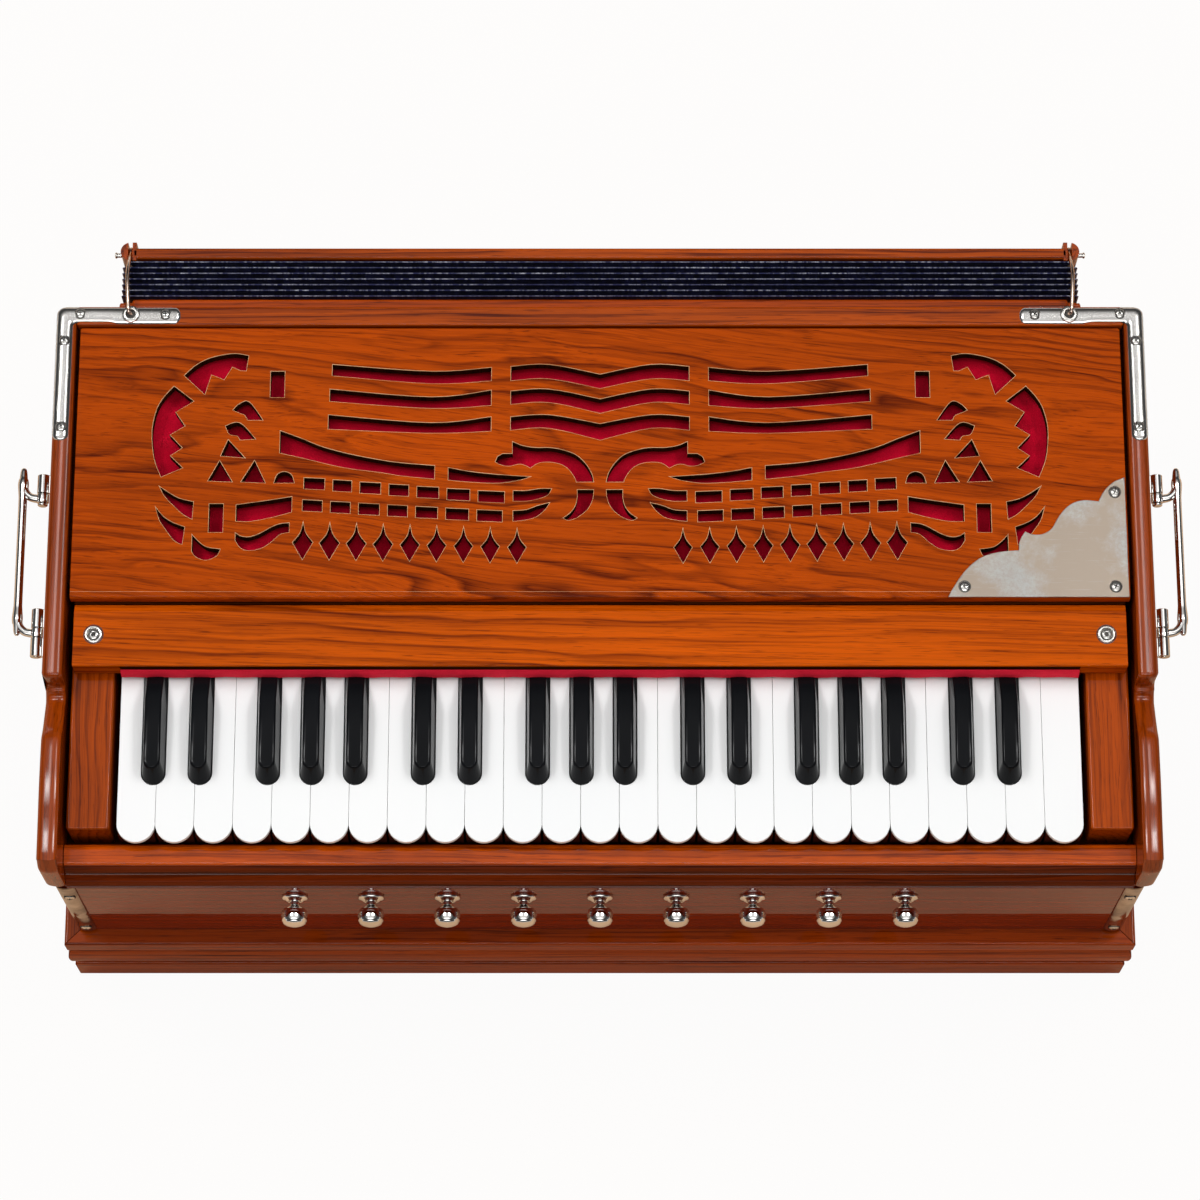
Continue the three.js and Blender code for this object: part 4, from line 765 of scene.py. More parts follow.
CUT_OUTS = [
    [curve((181, 376), (192, 366), (205, 359), (221, 355), (233, 354), (245, 356)),
     line((243, 371), (238, 371), (229, 367), (221, 380), (208, 375), (202, 395))],
    [line((171, 387), (191, 402), (173, 413), (183, 427), (168, 436), (181, 449), (169, 457), (182, 469),
          (161, 478)),
     curve((154, 461), (151, 442), (151, 426), (155, 409), (162, 397), (171, 387))],
    [curve((231, 411), (237, 405), (247, 403), (261, 421)), line((246, 421)),
     curve((243, 416), (238, 414), (231, 411))],
    [curve((224, 427), (238, 424), (254, 440)), line((239, 441)), curve((236, 437), (228, 435), (224, 427))],
    [line((227, 441), (244, 459), (220, 457))],
    [line((219, 462), (232, 483), (208, 482))],
    [line((254, 462), (265, 484), (241, 483))],
    [line((274, 484), (294, 484)), curve((291, 476), (284, 473), (277, 476), (274, 484))],
    [line((268, 372), (282, 372), (282, 398), (268, 398))],
    [curve((279, 432), (301, 440), (321, 448), (347, 455), (372, 460), (398, 464), (434, 467)),
     line((434, 480)), curve((403, 477), (377, 473), (352, 470), (331, 466), (306, 460), (279, 454))],
    [curve((448, 469), (470, 473), (498, 476), (529, 478)),
     curve((519, 481), (498, 484), (470, 483), (448, 481))],
    [curve((512, 443), (522, 447), (535, 449), (549, 449), (561, 451), (575, 456), (585, 465), (591, 475),
           (593, 483)),
     line((576, 483)),
     curve((574, 478), (568, 470), (560, 465), (549, 463), (538, 464), (530, 469)),
     curve((524, 466), (518, 465), (509, 467), (501, 466), (495, 463)),
     line((497, 458), (502, 455), (512, 455))],
    [line((577, 491), (593, 491)), curve((592, 500), (587, 510), (577, 518), (568, 521), (563, 519)),
     curve((570, 514), (575, 507), (577, 499), (577, 491))],
    [line((513, 492)), curve((526, 492), (540, 490), (551, 490)),
     curve((547, 496), (537, 500), (526, 502), (513, 502))],
    [line((513, 512)), curve((526, 511), (537, 507), (549, 504)),
     curve((544, 511), (535, 518), (523, 521), (513, 522))],
    [curve((160, 488), (171, 495), (181, 500), (194, 503)), line((193, 520)),
     curve((184, 515), (175, 507), (166, 498), (160, 488))],
    [curve((157, 509), (165, 518), (175, 524), (186, 528)), line((184, 545)),
     curve((176, 541), (168, 531), (161, 521), (157, 509))],
    [curve((194, 536), (201, 543), (209, 548), (222, 550)),
     curve((219, 556), (211, 560), (205, 560), (198, 557), (194, 552))],
    [line((210, 505), (224, 505), (224, 533), (210, 533))],
    [curve((237, 506), (252, 504), (273, 501), (292, 498)), line((292, 513)),
     curve((273, 518), (252, 522), (237, 522))],
    [curve((237, 534), (242, 537), (250, 538), (260, 535), (273, 528), (281, 525), (290, 524)),
     line((290, 533)), curve((281, 535), (272, 543), (262, 549), (250, 551), (242, 548), (237, 541))],
]
for start, tops, bottoms in ((330, (365, 372, 368), (376, 384, 381)), (328, (390, 398, 391), (402, 409, 406)),
                             (327, (416, 424, 418), (430, 434, 432))):
    CUT_OUTS.append([curve((start, tops[0]), (430, tops[1]), (490, tops[2])), line((490, bottoms[2])),
                     curve((430, bottoms[1]), (start, bottoms[0]))])
for lefts, right, high0, high1 in (((304, 333, 360, 389, 417, 447, 478), 504, 479, 492),
                                   ((303, 331, 359, 388, 416, 446, 477), 502, 501, 511)):
    for i, left in enumerate(lefts):
        end = lefts[i + 1] - 8.6 if i + 1 < len(lefts) else right
        high = high0 + (high1 - high0) * i / (len(lefts) - 1)
        CUT_OUTS.append([line((left, high), (end, high + 1), (end, high + 11.8), (left, high + 10.8))])
for i in range(9):
    x, top = 304 + (517 - 304) * i / 8, 524 + 6.5 * i / 8
    tall, half = 36 - 3 * i / 8, (20 - 2 * i / 8) / 2
    wide, neck = top + 0.53 * tall, top + 0.28 * tall
    CUT_OUTS.append([line((x, top)), curve((x + 0.28 * half, neck), (x + half, wide)), line((x, top + tall)),
                     line((x - half, wide)), curve((x - 0.28 * half, neck), (x, top))])
MIDDLE_CUT_OUTS = []
for tops, bottoms in (((367, 365, 375), (381, 379, 389)), ((392, 390, 400), (405, 403, 414)),
                      ((418, 416, 425), (431, 429, 441))):
    MIDDLE_CUT_OUTS.append([
        curve((510, tops[0]), (548, tops[1]), (599.5, tops[2])), curve((651, tops[1]), (689, tops[0])),
        line((689, bottoms[0])), curve((651, bottoms[1]), (599.5, bottoms[2])),
        curve((548, bottoms[1]), (510, bottoms[0])),
    ])


def cut_line(stretches, side):
    """The points round one cut-out on the board."""
    points = []
    for curved, pixels in stretches:
        spots = [onto_board(*p, side) for p in pixels]
        if curved and len(points) + len(spots) > 2:
            start = [points[-1]] if points else []
            smooth = spline(start + spots, 5)
            points += smooth[1:] if start else smooth
        else:
            points += spots
    kept = []
    for p in points:
        if not kept or (p - kept[-1]).length > 0.05:
            kept.append(p)
    if (kept[0] - kept[-1]).length < 0.05:
        kept.pop()
    return kept


def fret_panel():
    """The board as a filled flat curve with its cut-outs as holes, raised, with fine rounded edges."""
    edge = 0.32
    plan = bpy.data.curves.new("fret_plan", "CURVE")
    plan.dimensions = "2D"
    plan.fill_mode = "BOTH"
    plan.extrude = ((FRET_TOP - FRET_BOTTOM) / 2 - edge) * MM
    plan.bevel_depth = edge * MM
    plan.bevel_resolution = 1
    plan.offset = -edge * MM
    nosing = FRET_FRONT + 3.6
    front = [(-FRET_HALF, nosing), (FRET_HALF, nosing), (FRET_HALF, FRET_BACK), (-FRET_HALF, FRET_BACK)]
    loops = [rounded(front, [0, 0, 1.2, 1.2], 3)]
    loops += [cut_line(cut, side) for cut in CUT_OUTS for side in (-1, 1)]
    loops += [cut_line(cut, -1) for cut in MIDDLE_CUT_OUTS]
    for loop in loops:
        made = plan.splines.new("POLY")
        made.points.add(len(loop) - 1)
        for point, (x, y) in zip(made.points, loop):
            spot = at(x, y, 0)
            point.co = (spot.x, spot.y, 0, 1)
        made.use_cyclic_u = True
    source = bpy.data.objects.new("fret_plan", plan)
    bpy.context.scene.collection.objects.link(source)
    bpy.context.view_layer.update()
    mesh = bpy.data.meshes.new_from_object(source.evaluated_get(bpy.context.evaluated_depsgraph_get()))
    bpy.data.objects.remove(source)
    builder = bmesh.new()
    builder.from_mesh(mesh)
    bmesh.ops.remove_doubles(builder, verts=builder.verts[:], dist=1e-6)
    bmesh.ops.recalc_face_normals(builder, faces=builder.faces[:])
    middle = (FRET_TOP + FRET_BOTTOM) / 2 * MM
    outer_x, low_y, high_y = (FRET_HALF - 1) * MM, at(0, FRET_FRONT + 1, 0).y, at(0, FRET_BACK - 1, 0).y
    for face in builder.faces:
        up = abs(face.normal.z)
        spot = face.calc_center_median()
        inside = abs(spot.x) < outer_x and low_y < spot.y < high_y
        # upright faces of the cut-outs take the painted shade, and the rounded rims the pale wood with its
        # painted highlight
        face.material_index = 2 if up < 0.2 and inside else 1 if up < 0.95 and inside else 0
        face.smooth = False
    for vert in builder.verts:
        vert.co.z += middle
    piece = add_piece("fret_board", builder, ("panel", "edge", "wall"))
    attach(piece, "case")
    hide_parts("fret_panel")
    outline = [(nosing + 0.3, FRET_BOTTOM), (nosing + 0.3, FRET_TOP - 0.02), (nosing, FRET_TOP - 0.02),
               (nosing - 0.5, FRET_TOP - 0.35), (FRET_FRONT + 2.2, FRET_TOP - 0.4),
               (FRET_FRONT + 1.0, FRET_TOP - 0.8), (FRET_FRONT + 0.3, FRET_TOP - 1.6),
               (FRET_FRONT, FRET_TOP - 2.7), (FRET_FRONT, FRET_BOTTOM)]
    builder = bmesh.new()
    add_prism(builder, outline, "x", -FRET_HALF, FRET_HALF)
    finish_mesh("fret_nosing", builder, "panel", "case", bevel=0.2, steps=2, sharp=55)


def corner_plate():
    """The plain plate on the fret panel's front right corner, cut in scallops, with three screws."""
    first = spline([(197.3, 152.2), (202.9, 161.8), (209.2, 169.8), (216.9, 175.9), (226.2, 179.0),
                    (238.4, 180.2)], 5)
    second = spline([(238.4, 180.2), (238.7, 184.7), (240.2, 188.3), (242.2, 191.4)], 4)
    third = spline([(242.2, 191.4), (246.4, 189.7), (250.9, 189.6), (254.8, 191.1), (258.0, 193.9),
                    (261.2, 199.6), (266.0, 205.6), (271.4, 209.1), (277.7, 210.3), (284.8, 209.6)], 5)
    fourth = spline([(284.8, 209.6), (286.6, 213.4), (289.4, 217.4), (294.1, 221.5), (300.2, 224.2)], 4)
    outline = [*first, *second[1:], *third[1:], *fourth[1:], Vector((300.2, 152.2))]
    builder = bmesh.new()
    add_prism(builder, [tuple(p) for p in outline], "z", FRET_TOP - 0.2, FRET_TOP + 0.9)
    finish_mesh("corner_plate", builder, "plate", "case", bevel=0.3, steps=2, sharp=25)
    builder = bmesh.new()
    for x, y in ((206.9, 158.4), (294.2, 215.1), (292.8, 158.4)):
        add_screw(builder, x, y, FRET_TOP + 0.8, (0, 0, 1), 3.1)
    finish_screws("corner_plate_screws", builder)


# Metal fittings on the case

def crowned_strip(side):
    """The stations of a rear bracket, from its end over the rear wall round the corner to its end on the side.
    Each has an outer and an inner point and how far it is drawn down."""
    x, y, wide, narrow = ARM_OUT - 0.6, BODY_BACK - 0.6, 10.6, 9.3
    in_x, in_y, fillet, corner, turn = x - narrow, y - wide, 1.4, 4.5, 3.4
    end_x, end_y = x - 71.5, y - 82
    stations = []

    def waist(a):
        return 0.9 * min(1.0, max(0.0, (a - EYE_X - 8) / 4))

    for k in range(7):
        angle = math.pi / 2 * k / 6
        a, inset = end_x + turn * (1 - math.cos(angle)), turn * (1 - math.sin(angle))
        stations.append(((a, y - inset), (a, in_y + inset), 1.4 * (1 - math.sin(angle))))
    for k in range(1, 13):
        a = end_x + turn + (in_x - fillet - end_x - turn) * k / 12
        stations.append(((a, y), (a, in_y + waist(a)), 0.0))
    bend = [(in_x - fillet + (x - corner - in_x + fillet) * k / 3, y) for k in range(1, 4)]
    bend += arc(x - corner, y - corner, corner, math.pi / 2, 0, 6)[1:]
    bend += [(x, y - corner + (in_y - fillet - y + corner) * k / 3) for k in range(1, 4)]
    for k, outer in enumerate(bend, 1):
        angle = math.pi / 2 * (1 - k / len(bend))
        low = waist(in_x) * (1 - k / len(bend))
        inner = (in_x - fillet + fillet * math.cos(angle), in_y - fillet + low + fillet * math.sin(angle))
        stations.append((outer, inner, 0.0))
    for k in range(1, 9):
        b = in_y - fillet + (end_y + turn - in_y + fillet) * k / 8
        stations.append(((x, b), (in_x, b), 0.0))
    for k in range(1, 7):
        angle = math.pi / 2 * (1 - k / 6)
        b, inset = end_y + turn * (1 - math.cos(angle)), turn * (1 - math.sin(angle))
        stations.append(((x - inset, b), (in_x + inset, b), 1.4 * (1 - math.sin(angle))))
    return [((side * p[0], p[1]), (side * q[0], q[1]), down) for p, q, down in stations]


def rear_brackets():
    """An L of nickel on each rear corner, crowned across, with turned-down lips, screws and the hook's eye."""
    top, fall, steps = WALL_TOP + 1.15, 1.6, 20
    for side, name in SIDES:
        builder = bmesh.new()
        rings = []
        for outer, inner, down in crowned_strip(side):
            outer, inner = Vector((*outer, 0)), Vector((*inner, 0))
            ring = [(outer, WALL_TOP - 3.6)]
            for k in range(steps + 1):
                share = 0.5 - 0.5 * math.cos(math.pi * k / steps)
                ring.append((outer.lerp(inner, share), top - down - fall * abs(2 * share - 1) ** 3.2))
            ring.append((inner, WALL_TOP - 3.6))
            rings.append([(p.x, p.y, z) for p, z in ring])
        join_rings(builder, rings)
        x, y = ARM_OUT - 0.6, BODY_BACK - 0.6
        side_lip = [(x + 0.5, y - 4.6), (x + 0.5, y - 78.6), (x - 0.9, y - 78.6), (x - 0.9, y - 4.6)]
        back_lip = [(x - 4.6, y + 0.5), (x - 66.5, y + 0.5), (x - 66.5, y - 0.9), (x - 4.6, y - 0.9)]
        for lip, reach in ((side_lip, 9), (back_lip, 4)):
            plan = [(side * a, b) for a, b in rounded(lip, 0.5, 2)]
            add_prism(builder, plan, "z", WALL_TOP - reach, WALL_TOP - 0.95)
        finish_mesh(f"rear_bracket_{name}", builder, "sheet", "case", sharp=62)
        builder = bmesh.new()
        for sx, sy in ((251.8, 323.3), (301.1, 323.9), (309.9, 307.1), (309.6, 254.2)):
            add_screw(builder, side * sx, sy, WALL_TOP + 1.0, (0, 0, 1), 2.9)
        ring = [(2.5, -0.5), (2.5, 0.5), (3.0, 1.1), (4.0, 1.2), (4.9, 0.7), (5.2, -0.1), (5.2, -0.3)]
        add_turned(builder, ring, (0, 0, 1), (side * EYE_X, EYE_Y, WALL_TOP + 1.1), 32)
        # a dark disc in the eye's hole, painted shade
        add_turned(builder, [(2.75, 0.0), (2.75, 0.6), (0, 0.6)], (0, 0, 1),
                   (side * EYE_X, EYE_Y, WALL_TOP + 0.6), 24, 1)
        finish_screws(f"rear_bracket_screws_{name}", builder)


def front_straps():
    """A half-round strap of plated sheet over each front edge of the case, held by screws."""
    low, high, inner, outer = 84, 191, 300.2, BODY_HALF
    section = [(inner + a, b) for a, b in ((0, 0.2), (0, -0.3), (0.5, -0.9), (1.6, -1.5), (3.2, -2.0),
                                           (5.0, -2.2), (6.8, -2.05), (8.4, -1.6))]
    section += [(outer + a, b) for a, b in ((-0.3, -1.1), (0.6, -0.5), (1.2, 0.4), (1.4, 2.6), (1.4, 6.0),
                                            (1.0, 8.8), (0.3, 10.0), (-0.2, 10.0), (-0.2, 0.2))]
    levels = ((low, 0.5), (low + 0.5, 0.1), (low + 1, 0), (high - 1, 0), (high - 0.5, 0.1), (high, 0.5))
    for side, name in SIDES:
        builder = bmesh.new()
        join_rings(builder, [[(side * (a - (draw if a > outer else 0)), b + (draw if b < 0 else 0), z)
                              for a, b in section] for z, draw in levels])
        finish_mesh(f"front_strap_{name}", builder, "strap", "case", sharp=50)
        builder = bmesh.new()
        for z in (171, 94.5):
            add_screw(builder, side * 305.2, -2.1, z, (0, -1, 0), 2.9)
            add_screw(builder, side * (outer + 1.2), 5.0, z, (side, 0, 0), 2.9)
        finish_screws(f"front_strap_screws_{name}", builder)


def stop_xs():
    return [(i - (STOP_COUNT - 1) / 2) * STOP_PITCH for i in range(STOP_COUNT)]


def stop_rings():
    builder = bmesh.new()
    ring = [(3.4, -0.5), (3.4, 3.1), (3.9, 3.4), (4.6, 3.35), (5.3, 2.7), (6.6, 2.3), (7.3, 1.9), (7.6, 1.3),
            (7.6, 0.4), (7.2, 0.0), (7.2, -0.5)]
    for x in stop_xs():
        add_turned(builder, ring, (0, -1, 0), (x, 0, STOP_Z), 40)
    finish_mesh("stop_rings", builder, "chrome", "case", sharp=50)


def handle_hinges():
    """On each side two plates with long knuckles, pins through the handle's eyes, and screws."""
    gap, long, half, pin_radius, middle = 3.15, 11.5, BODY_HALF, 1.85, HANDLE_Z
    flank = [(half + 1.5, 8.5), (half + 2.6, 5.0), (half + 5.0, 2.5), (PIVOT_X - 6.4, 1.7)]
    turn = math.radians(154)
    ear = [(a, middle - b) for a, b in flank] + arc(PIVOT_X, middle, 3.6, -turn, turn, 24)
    ear += [(a, middle + b) for a, b in reversed(flank)]
    for side, name in SIDES:
        builder = bmesh.new()
        for number, leg_y in enumerate(LEG_YS):
            y, reach = leg_y - LEG_SWEEP, gap + long + 1.4
            plate = rounded([(y - reach, middle - 10), (y + reach, middle - 10), (y + reach, middle + 10),
                             (y - reach, middle + 10)], 3.5, 5)
            add_prism(builder, plate, "x", side * (half - 0.2), side * (half + 2))
            for start in (y + gap, y - gap - long)[:2 - number]:
                add_prism(builder, [(side * a, b) for a, b in ear], "y", start, start + long)
            head = gap + (1.5 if number else 0.4)
            pin = [(pin_radius, -head)]
            if number:
                pin = [(2.4, -head), (3.0, 0.5 - head), (3.0, -gap), (pin_radius, -gap)]
            pin = [(0, -head), *pin, (pin_radius, gap + 0.5), (0, gap + 0.5)]
            add_turned(builder, pin, (0, 1, 0), (side * PIVOT_X, y, middle), 24)
            for end, way in ((y + gap + long, 1), (y - gap - long, -1))[:2 - number]:
                add_turned(builder, [(2.3, -0.2), (2.2, 0.25), (1.4, 0.5), (0, 0.55)], (0, way, 0),
                           (side * PIVOT_X, end, middle), 20)
        finish_mesh(f"handle_hinges_{name}", builder, "chrome", "case", bevel=0.5, steps=3,
                    sharp=50)
        builder = bmesh.new()
        for leg_y in LEG_YS:
            for dy in (-13.2, 13.2):
                for dz in (-7.2, 7.2):
                    add_screw(builder, side * (half + 1.9), leg_y - LEG_SWEEP + dy, middle + dz, (side, 0, 0),
                              1.8)
        finish_screws(f"handle_hinge_screws_{name}", builder)


# Keys

SHARP_SHARES = {0: -0.09, 1: 0.12, 3: -0.12, 4: 0.02, 5: 0.15}


def sharp_x(index):
    share = SHARP_SHARES.get(index % 7)
    if share is None or index < 0 or index + 1 >= KEY_COUNT:
        return None
    return -PITCH * KEY_COUNT / 2 + (index + 1 + share) * PITCH


def natural_outline(index, gap, front, round_front, room=0.0):
    """The plan of a natural: full in front, and drawn in round the front and along the side of each sharp.
    gap is left at each side, and room more of it beside the sharps."""
    left = -PITCH * KEY_COUNT / 2 + index * PITCH + gap
    right = left + PITCH - 2 * gap
    before, after = sharp_x(index - 1), sharp_x(index)
    half = 6.85 + gap + room

    def cove(x, edge, side):
        start = 0 if side > 0 else math.pi
        return arc(x, SHARP_FRONT + 6.6, half, start, start - side * math.acos(side * (edge - x) / half), 10)

    points = [(left if before is None else before + half, KEY_TAIL),
              (right if after is None else after - half, KEY_TAIL)]
    points += cove(after, right, -1) if after is not None else []
    radius = (right - left) / 2
    points += (arc(left + radius, front + radius, radius, 0, -math.pi, 28) if round_front
               else [(right, front), (left, front)])
    return points + (cove(before, left, 1)[::-1] if before is not None else [])


def naturals():
    for i in range(KEY_COUNT):
        name = f"natural_{i + 1:02d}"
        builder = bmesh.new()
        add_prism(builder, natural_outline(i, 0.09, TIP_Y, True), "z", PLATE_BOTTOM, KEY_TOP)
        finish_mesh(f"{name}_plate", builder, "white", name, (name,), bevel=0.3, steps=3,
                    sharp=35)
        # the stem's near-black wood is painted shade for the gap under the plate
        builder = bmesh.new()
        add_prism(builder, natural_outline(i, 0.65, TIP_Y + 4.5, False, 0.9), "z", STEM_BOTTOM, PLATE_BOTTOM)
        finish_mesh(f"{name}_stem", builder, "stem", name, bevel=0.3, steps=1, sharp=35)


def sharps():
    """Glossy black caps: upright skirts, sloping sides, a crowned top and a round front."""
    number = 0
    for i in range(KEY_COUNT):
        x = sharp_x(i)
        if x is None:
            continue
        number += 1
        name = f"sharp_{number:02d}"
        builder = bmesh.new()
        back, crease = RAIL_FRONT - 0.4, RAIL_FRONT - 18.2
        levels = [
            (6.35, 0.15, (0.05, 0.05, 0.05), PLATE_BOTTOM), (6.6, 0.0, (0.4, 0.4, 0.4), PLATE_BOTTOM),
            (6.6, 0.0, (0, 0, 0), KEY_TOP), (6.45, 0.3, (0.5, 0.7, 0.7), KEY_TOP),
            (4.85, 6.0, (2.9, 12.1, 10.3), KEY_TOP), (4.75, 6.3, (3.05, 12.75, 10.9), KEY_TOP),
            (4.5, 6.7, (3.2, 13.3, 11.4), KEY_TOP), (4.15, 7.15, (3.35, 13.65, 11.75), KEY_TOP),
            (3.75, 7.6, (3.4, 13.83, 11.9), KEY_TOP), (3.0, 8.4, (3.45, 13.93, 11.96), KEY_TOP),
            (1.5, 9.9, (3.5, 13.98, 12.0), KEY_TOP),
        ]
        rings = []
        for half, set_back, (rise_back, rise_crease, rise_front), base in levels:
            nose = arc(x, SHARP_FRONT + set_back + half, half, math.pi, 2 * math.pi, 14)
            rings.append([(x - half, back, base + rise_back), (x - half, crease, base + rise_crease)]
                         + [(a, b, base + rise_front) for a, b in nose]
                         + [(x + half, crease, base + rise_crease), (x + half, back, base + rise_back)])
        top = join_rings(builder, rings, caps=(True, False), out=True)[-1]
        count = len(top)
        for k in range(count // 2):
            corners = [top[k], top[k + 1], top[count - 2 - k], top[count - 1 - k]]
            kept = list(dict.fromkeys(corners))
            if len(kept) > 2:
                builder.faces.new(kept)
        finish_mesh(f"{name}_cap", builder, "black", name, (name,), sharp=50)
        # the stem's near-black wood is painted shade for the gap under the cap
        builder = bmesh.new()
        add_box(builder, x - 5.4, x + 5.4, SHARP_FRONT + 3, KEY_TAIL, STEM_BOTTOM, PLATE_BOTTOM)
        finish_mesh(f"{name}_stem", builder, "stem", name, bevel=0.3, steps=1)


# Stops, hooks, handles and bellows

def stops():
    profile = [(0, -30), (2.9, -30), (3.1, -29.6), (3.1, 3.0), (2.9, 3.8), (2.9, 5.2), (3.2, 6.0), (4.2, 6.8),
               (5.8, 7.5), (6.8, 8.3), (7.35, 9.3), (7.55, 10.6), (7.55, 13.4), (7.4, 14.5), (7.05, 15.2),
               (6.75, 15.4), (6.65, 15.8), (6.3, 16.4), (5.2, 17.2), (3.4, 17.9), (1.6, 18.3), (0, 18.4)]
    for number, x in enumerate(stop_xs(), 1):
        builder = bmesh.new()
        add_turned(builder, profile, (0, -1, 0), (x, 0, STOP_Z), 48)
        finish_mesh(f"stop_knob_{number}", builder, "chrome", f"stop_{number}",
                    (f"stop_{number}",), sharp=50)


def hooks():
    for side, name in SIDES:
        builder = bmesh.new()
        wire, mean = 1.1, 3.7
        add_tube(builder, [(side * LOBE_X, *p) for p in arc(LOBE_Y, PIN_Z, mean, 0, 2 * math.pi, 32)], wire,
                 12)
        over = WALL_TOP + 1.2 + 1.6 + wire
        path = [
            (LOBE_X, LOBE_Y, PIN_Z + mean), (LOBE_X, LOBE_Y - LOBE_RADIUS, BELLOWS_TOP + 2 * wire),
            (LOBE_X, (LOBE_Y + BODY_BACK) / 2, over), (LOBE_X - wire, BODY_BACK, over),
            (EYE_X + wire, EYE_Y + wire, over - wire / 2), (EYE_X, EYE_Y, WALL_TOP + 1.5),
        ]
        path = spline([(side * a, b, c) for a, b, c in path], 8)
        add_tube(builder, path, wire, 14)
        name = f"hook_{name}"
        finish_mesh(f"{name}_wire", builder, "wire", name, (name,), sharp=60)


def handles():
    """A grip bar with pointed, swollen tips on two swept legs, each with a hinge eye."""
    for side, name in SIDES:
        builder = bmesh.new()
        start, length = LEG_YS[0] - 10.4, 104.8
        half = [(0, 0), (0.9, 0.2), (1.6, 1.0), (2.0, 2.6), (2.3, 5.4), (2.4, 6.6), (2.9, 7.6), (3.15, 9.2),
                (3.2, 10.8), (3.05, 13.0), (2.8, 15.5), (2.55, 18.5), (2.5, 24.0)]
        profile = half + [(r, length - a) for r, a in reversed(half)]
        add_turned(builder, profile, (0, 1, 0), (side * BAR_X, start, HANDLE_Z), 32)
        for y in LEG_YS:
            inner, outer, long = 2.25, 3.6, 2.8
            eye_y = y - LEG_SWEEP
            ring = [(inner, -long), (outer - 0.4, -long), (outer, -long + 0.4), (outer, long - 0.4),
                    (outer - 0.4, long), (inner, long), (inner, -long)]
            add_turned(builder, ring, (0, 1, 0), (side * PIVOT_X, eye_y, HANDLE_Z), 28)
            root = PIVOT_X + (inner + outer) / 2
            path = spline([(side * root, eye_y, HANDLE_Z), (side * (root + BAR_X) / 2, eye_y + 1.1, HANDLE_Z),
                           (side * (BAR_X - 1.2), eye_y + 4.5, HANDLE_Z), (side * BAR_X, y, HANDLE_Z)], 8)
            add_tube(builder, path, lambda share: 2.6 + 0.3 * share - 0.3 * math.sin(math.pi * share), 18)
        name = f"handle_{name}"
        finish_mesh(f"{name}_bar", builder, "chrome", name, (name,), sharp=50)


def bellows_folds():
    """Seven pleats of coated cloth, with rounded ridges whose shine along their edges is painted in with a
    lighter copy of the cloth.
    """
    folds, depth = 7, 6
    pitch = (FOLDS_BACK - FOLDS_FRONT) / folds
    # shares of a pleat's pitch and depth, and whether the ridge's lighter cloth with its painted shine is there
    pleat = [(0.0, 1.0, 0), (0.14, 0.80, 0), (0.30, 0.42, 0), (0.40, 0.16, 1), (0.46, 0.04, 1), (0.5, 0.0, 1),
             (0.54, 0.04, 1), (0.60, 0.16, 1), (0.70, 0.42, 0), (0.86, 0.80, 0)]
    stations = [(FOLDS_FRONT + (fold + share) * pitch, inset * depth, ridge)
                for fold in range(folds) for share, inset, ridge in pleat] + [(FOLDS_BACK, depth, 0)]
    rings = []
    for y, inset, ridge in stations:
        stand = 8.0 * min(1.0, (FOLDS_BACK - y) / 3.2, (y - FOLDS_FRONT) / 1.2 + 0.3)
        x, low, high = FOLDS_HALF + stand - inset, BELLOWS_BOTTOM + inset / 2, BELLOWS_TOP - inset / 2
        corners = rounded([(-x, high), (x, high), (x, low), (-x, low)], 1.4, 4)
        ring = []
        for corner, after in zip(corners, corners[1:] + corners[:1]):
            ring.append((corner[0], y, corner[1]))
            length = math.dist(corner, after)
            cuts = 36 if length > 300 else 10 if length > 50 else 0
            for c in range(1, cuts):
                t = c / cuts
                slack = 0.25 * math.sin(c * 2.3 + y * 1.9) * (inset / depth * 0.5 + 0.5) * math.sin(math.pi * t)
                px, pz = corner[0] + (after[0] - corner[0]) * t, corner[1] + (after[1] - corner[1]) * t
                if length > 300:
                    pz -= abs(slack) if pz > 150 else -abs(slack)
                ring.append((px, y, pz))
        rings.append(ring)
    builder = bmesh.new()
    join_rings(builder, rings, [min(a[2], b[2]) for a, b in zip(stations, stations[1:])] + [0])
    piece = finish_mesh("bellows_pleats", builder, ("bellows", "ridge"), None, sharp=75)
    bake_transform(piece)
    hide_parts("bellows_folds")


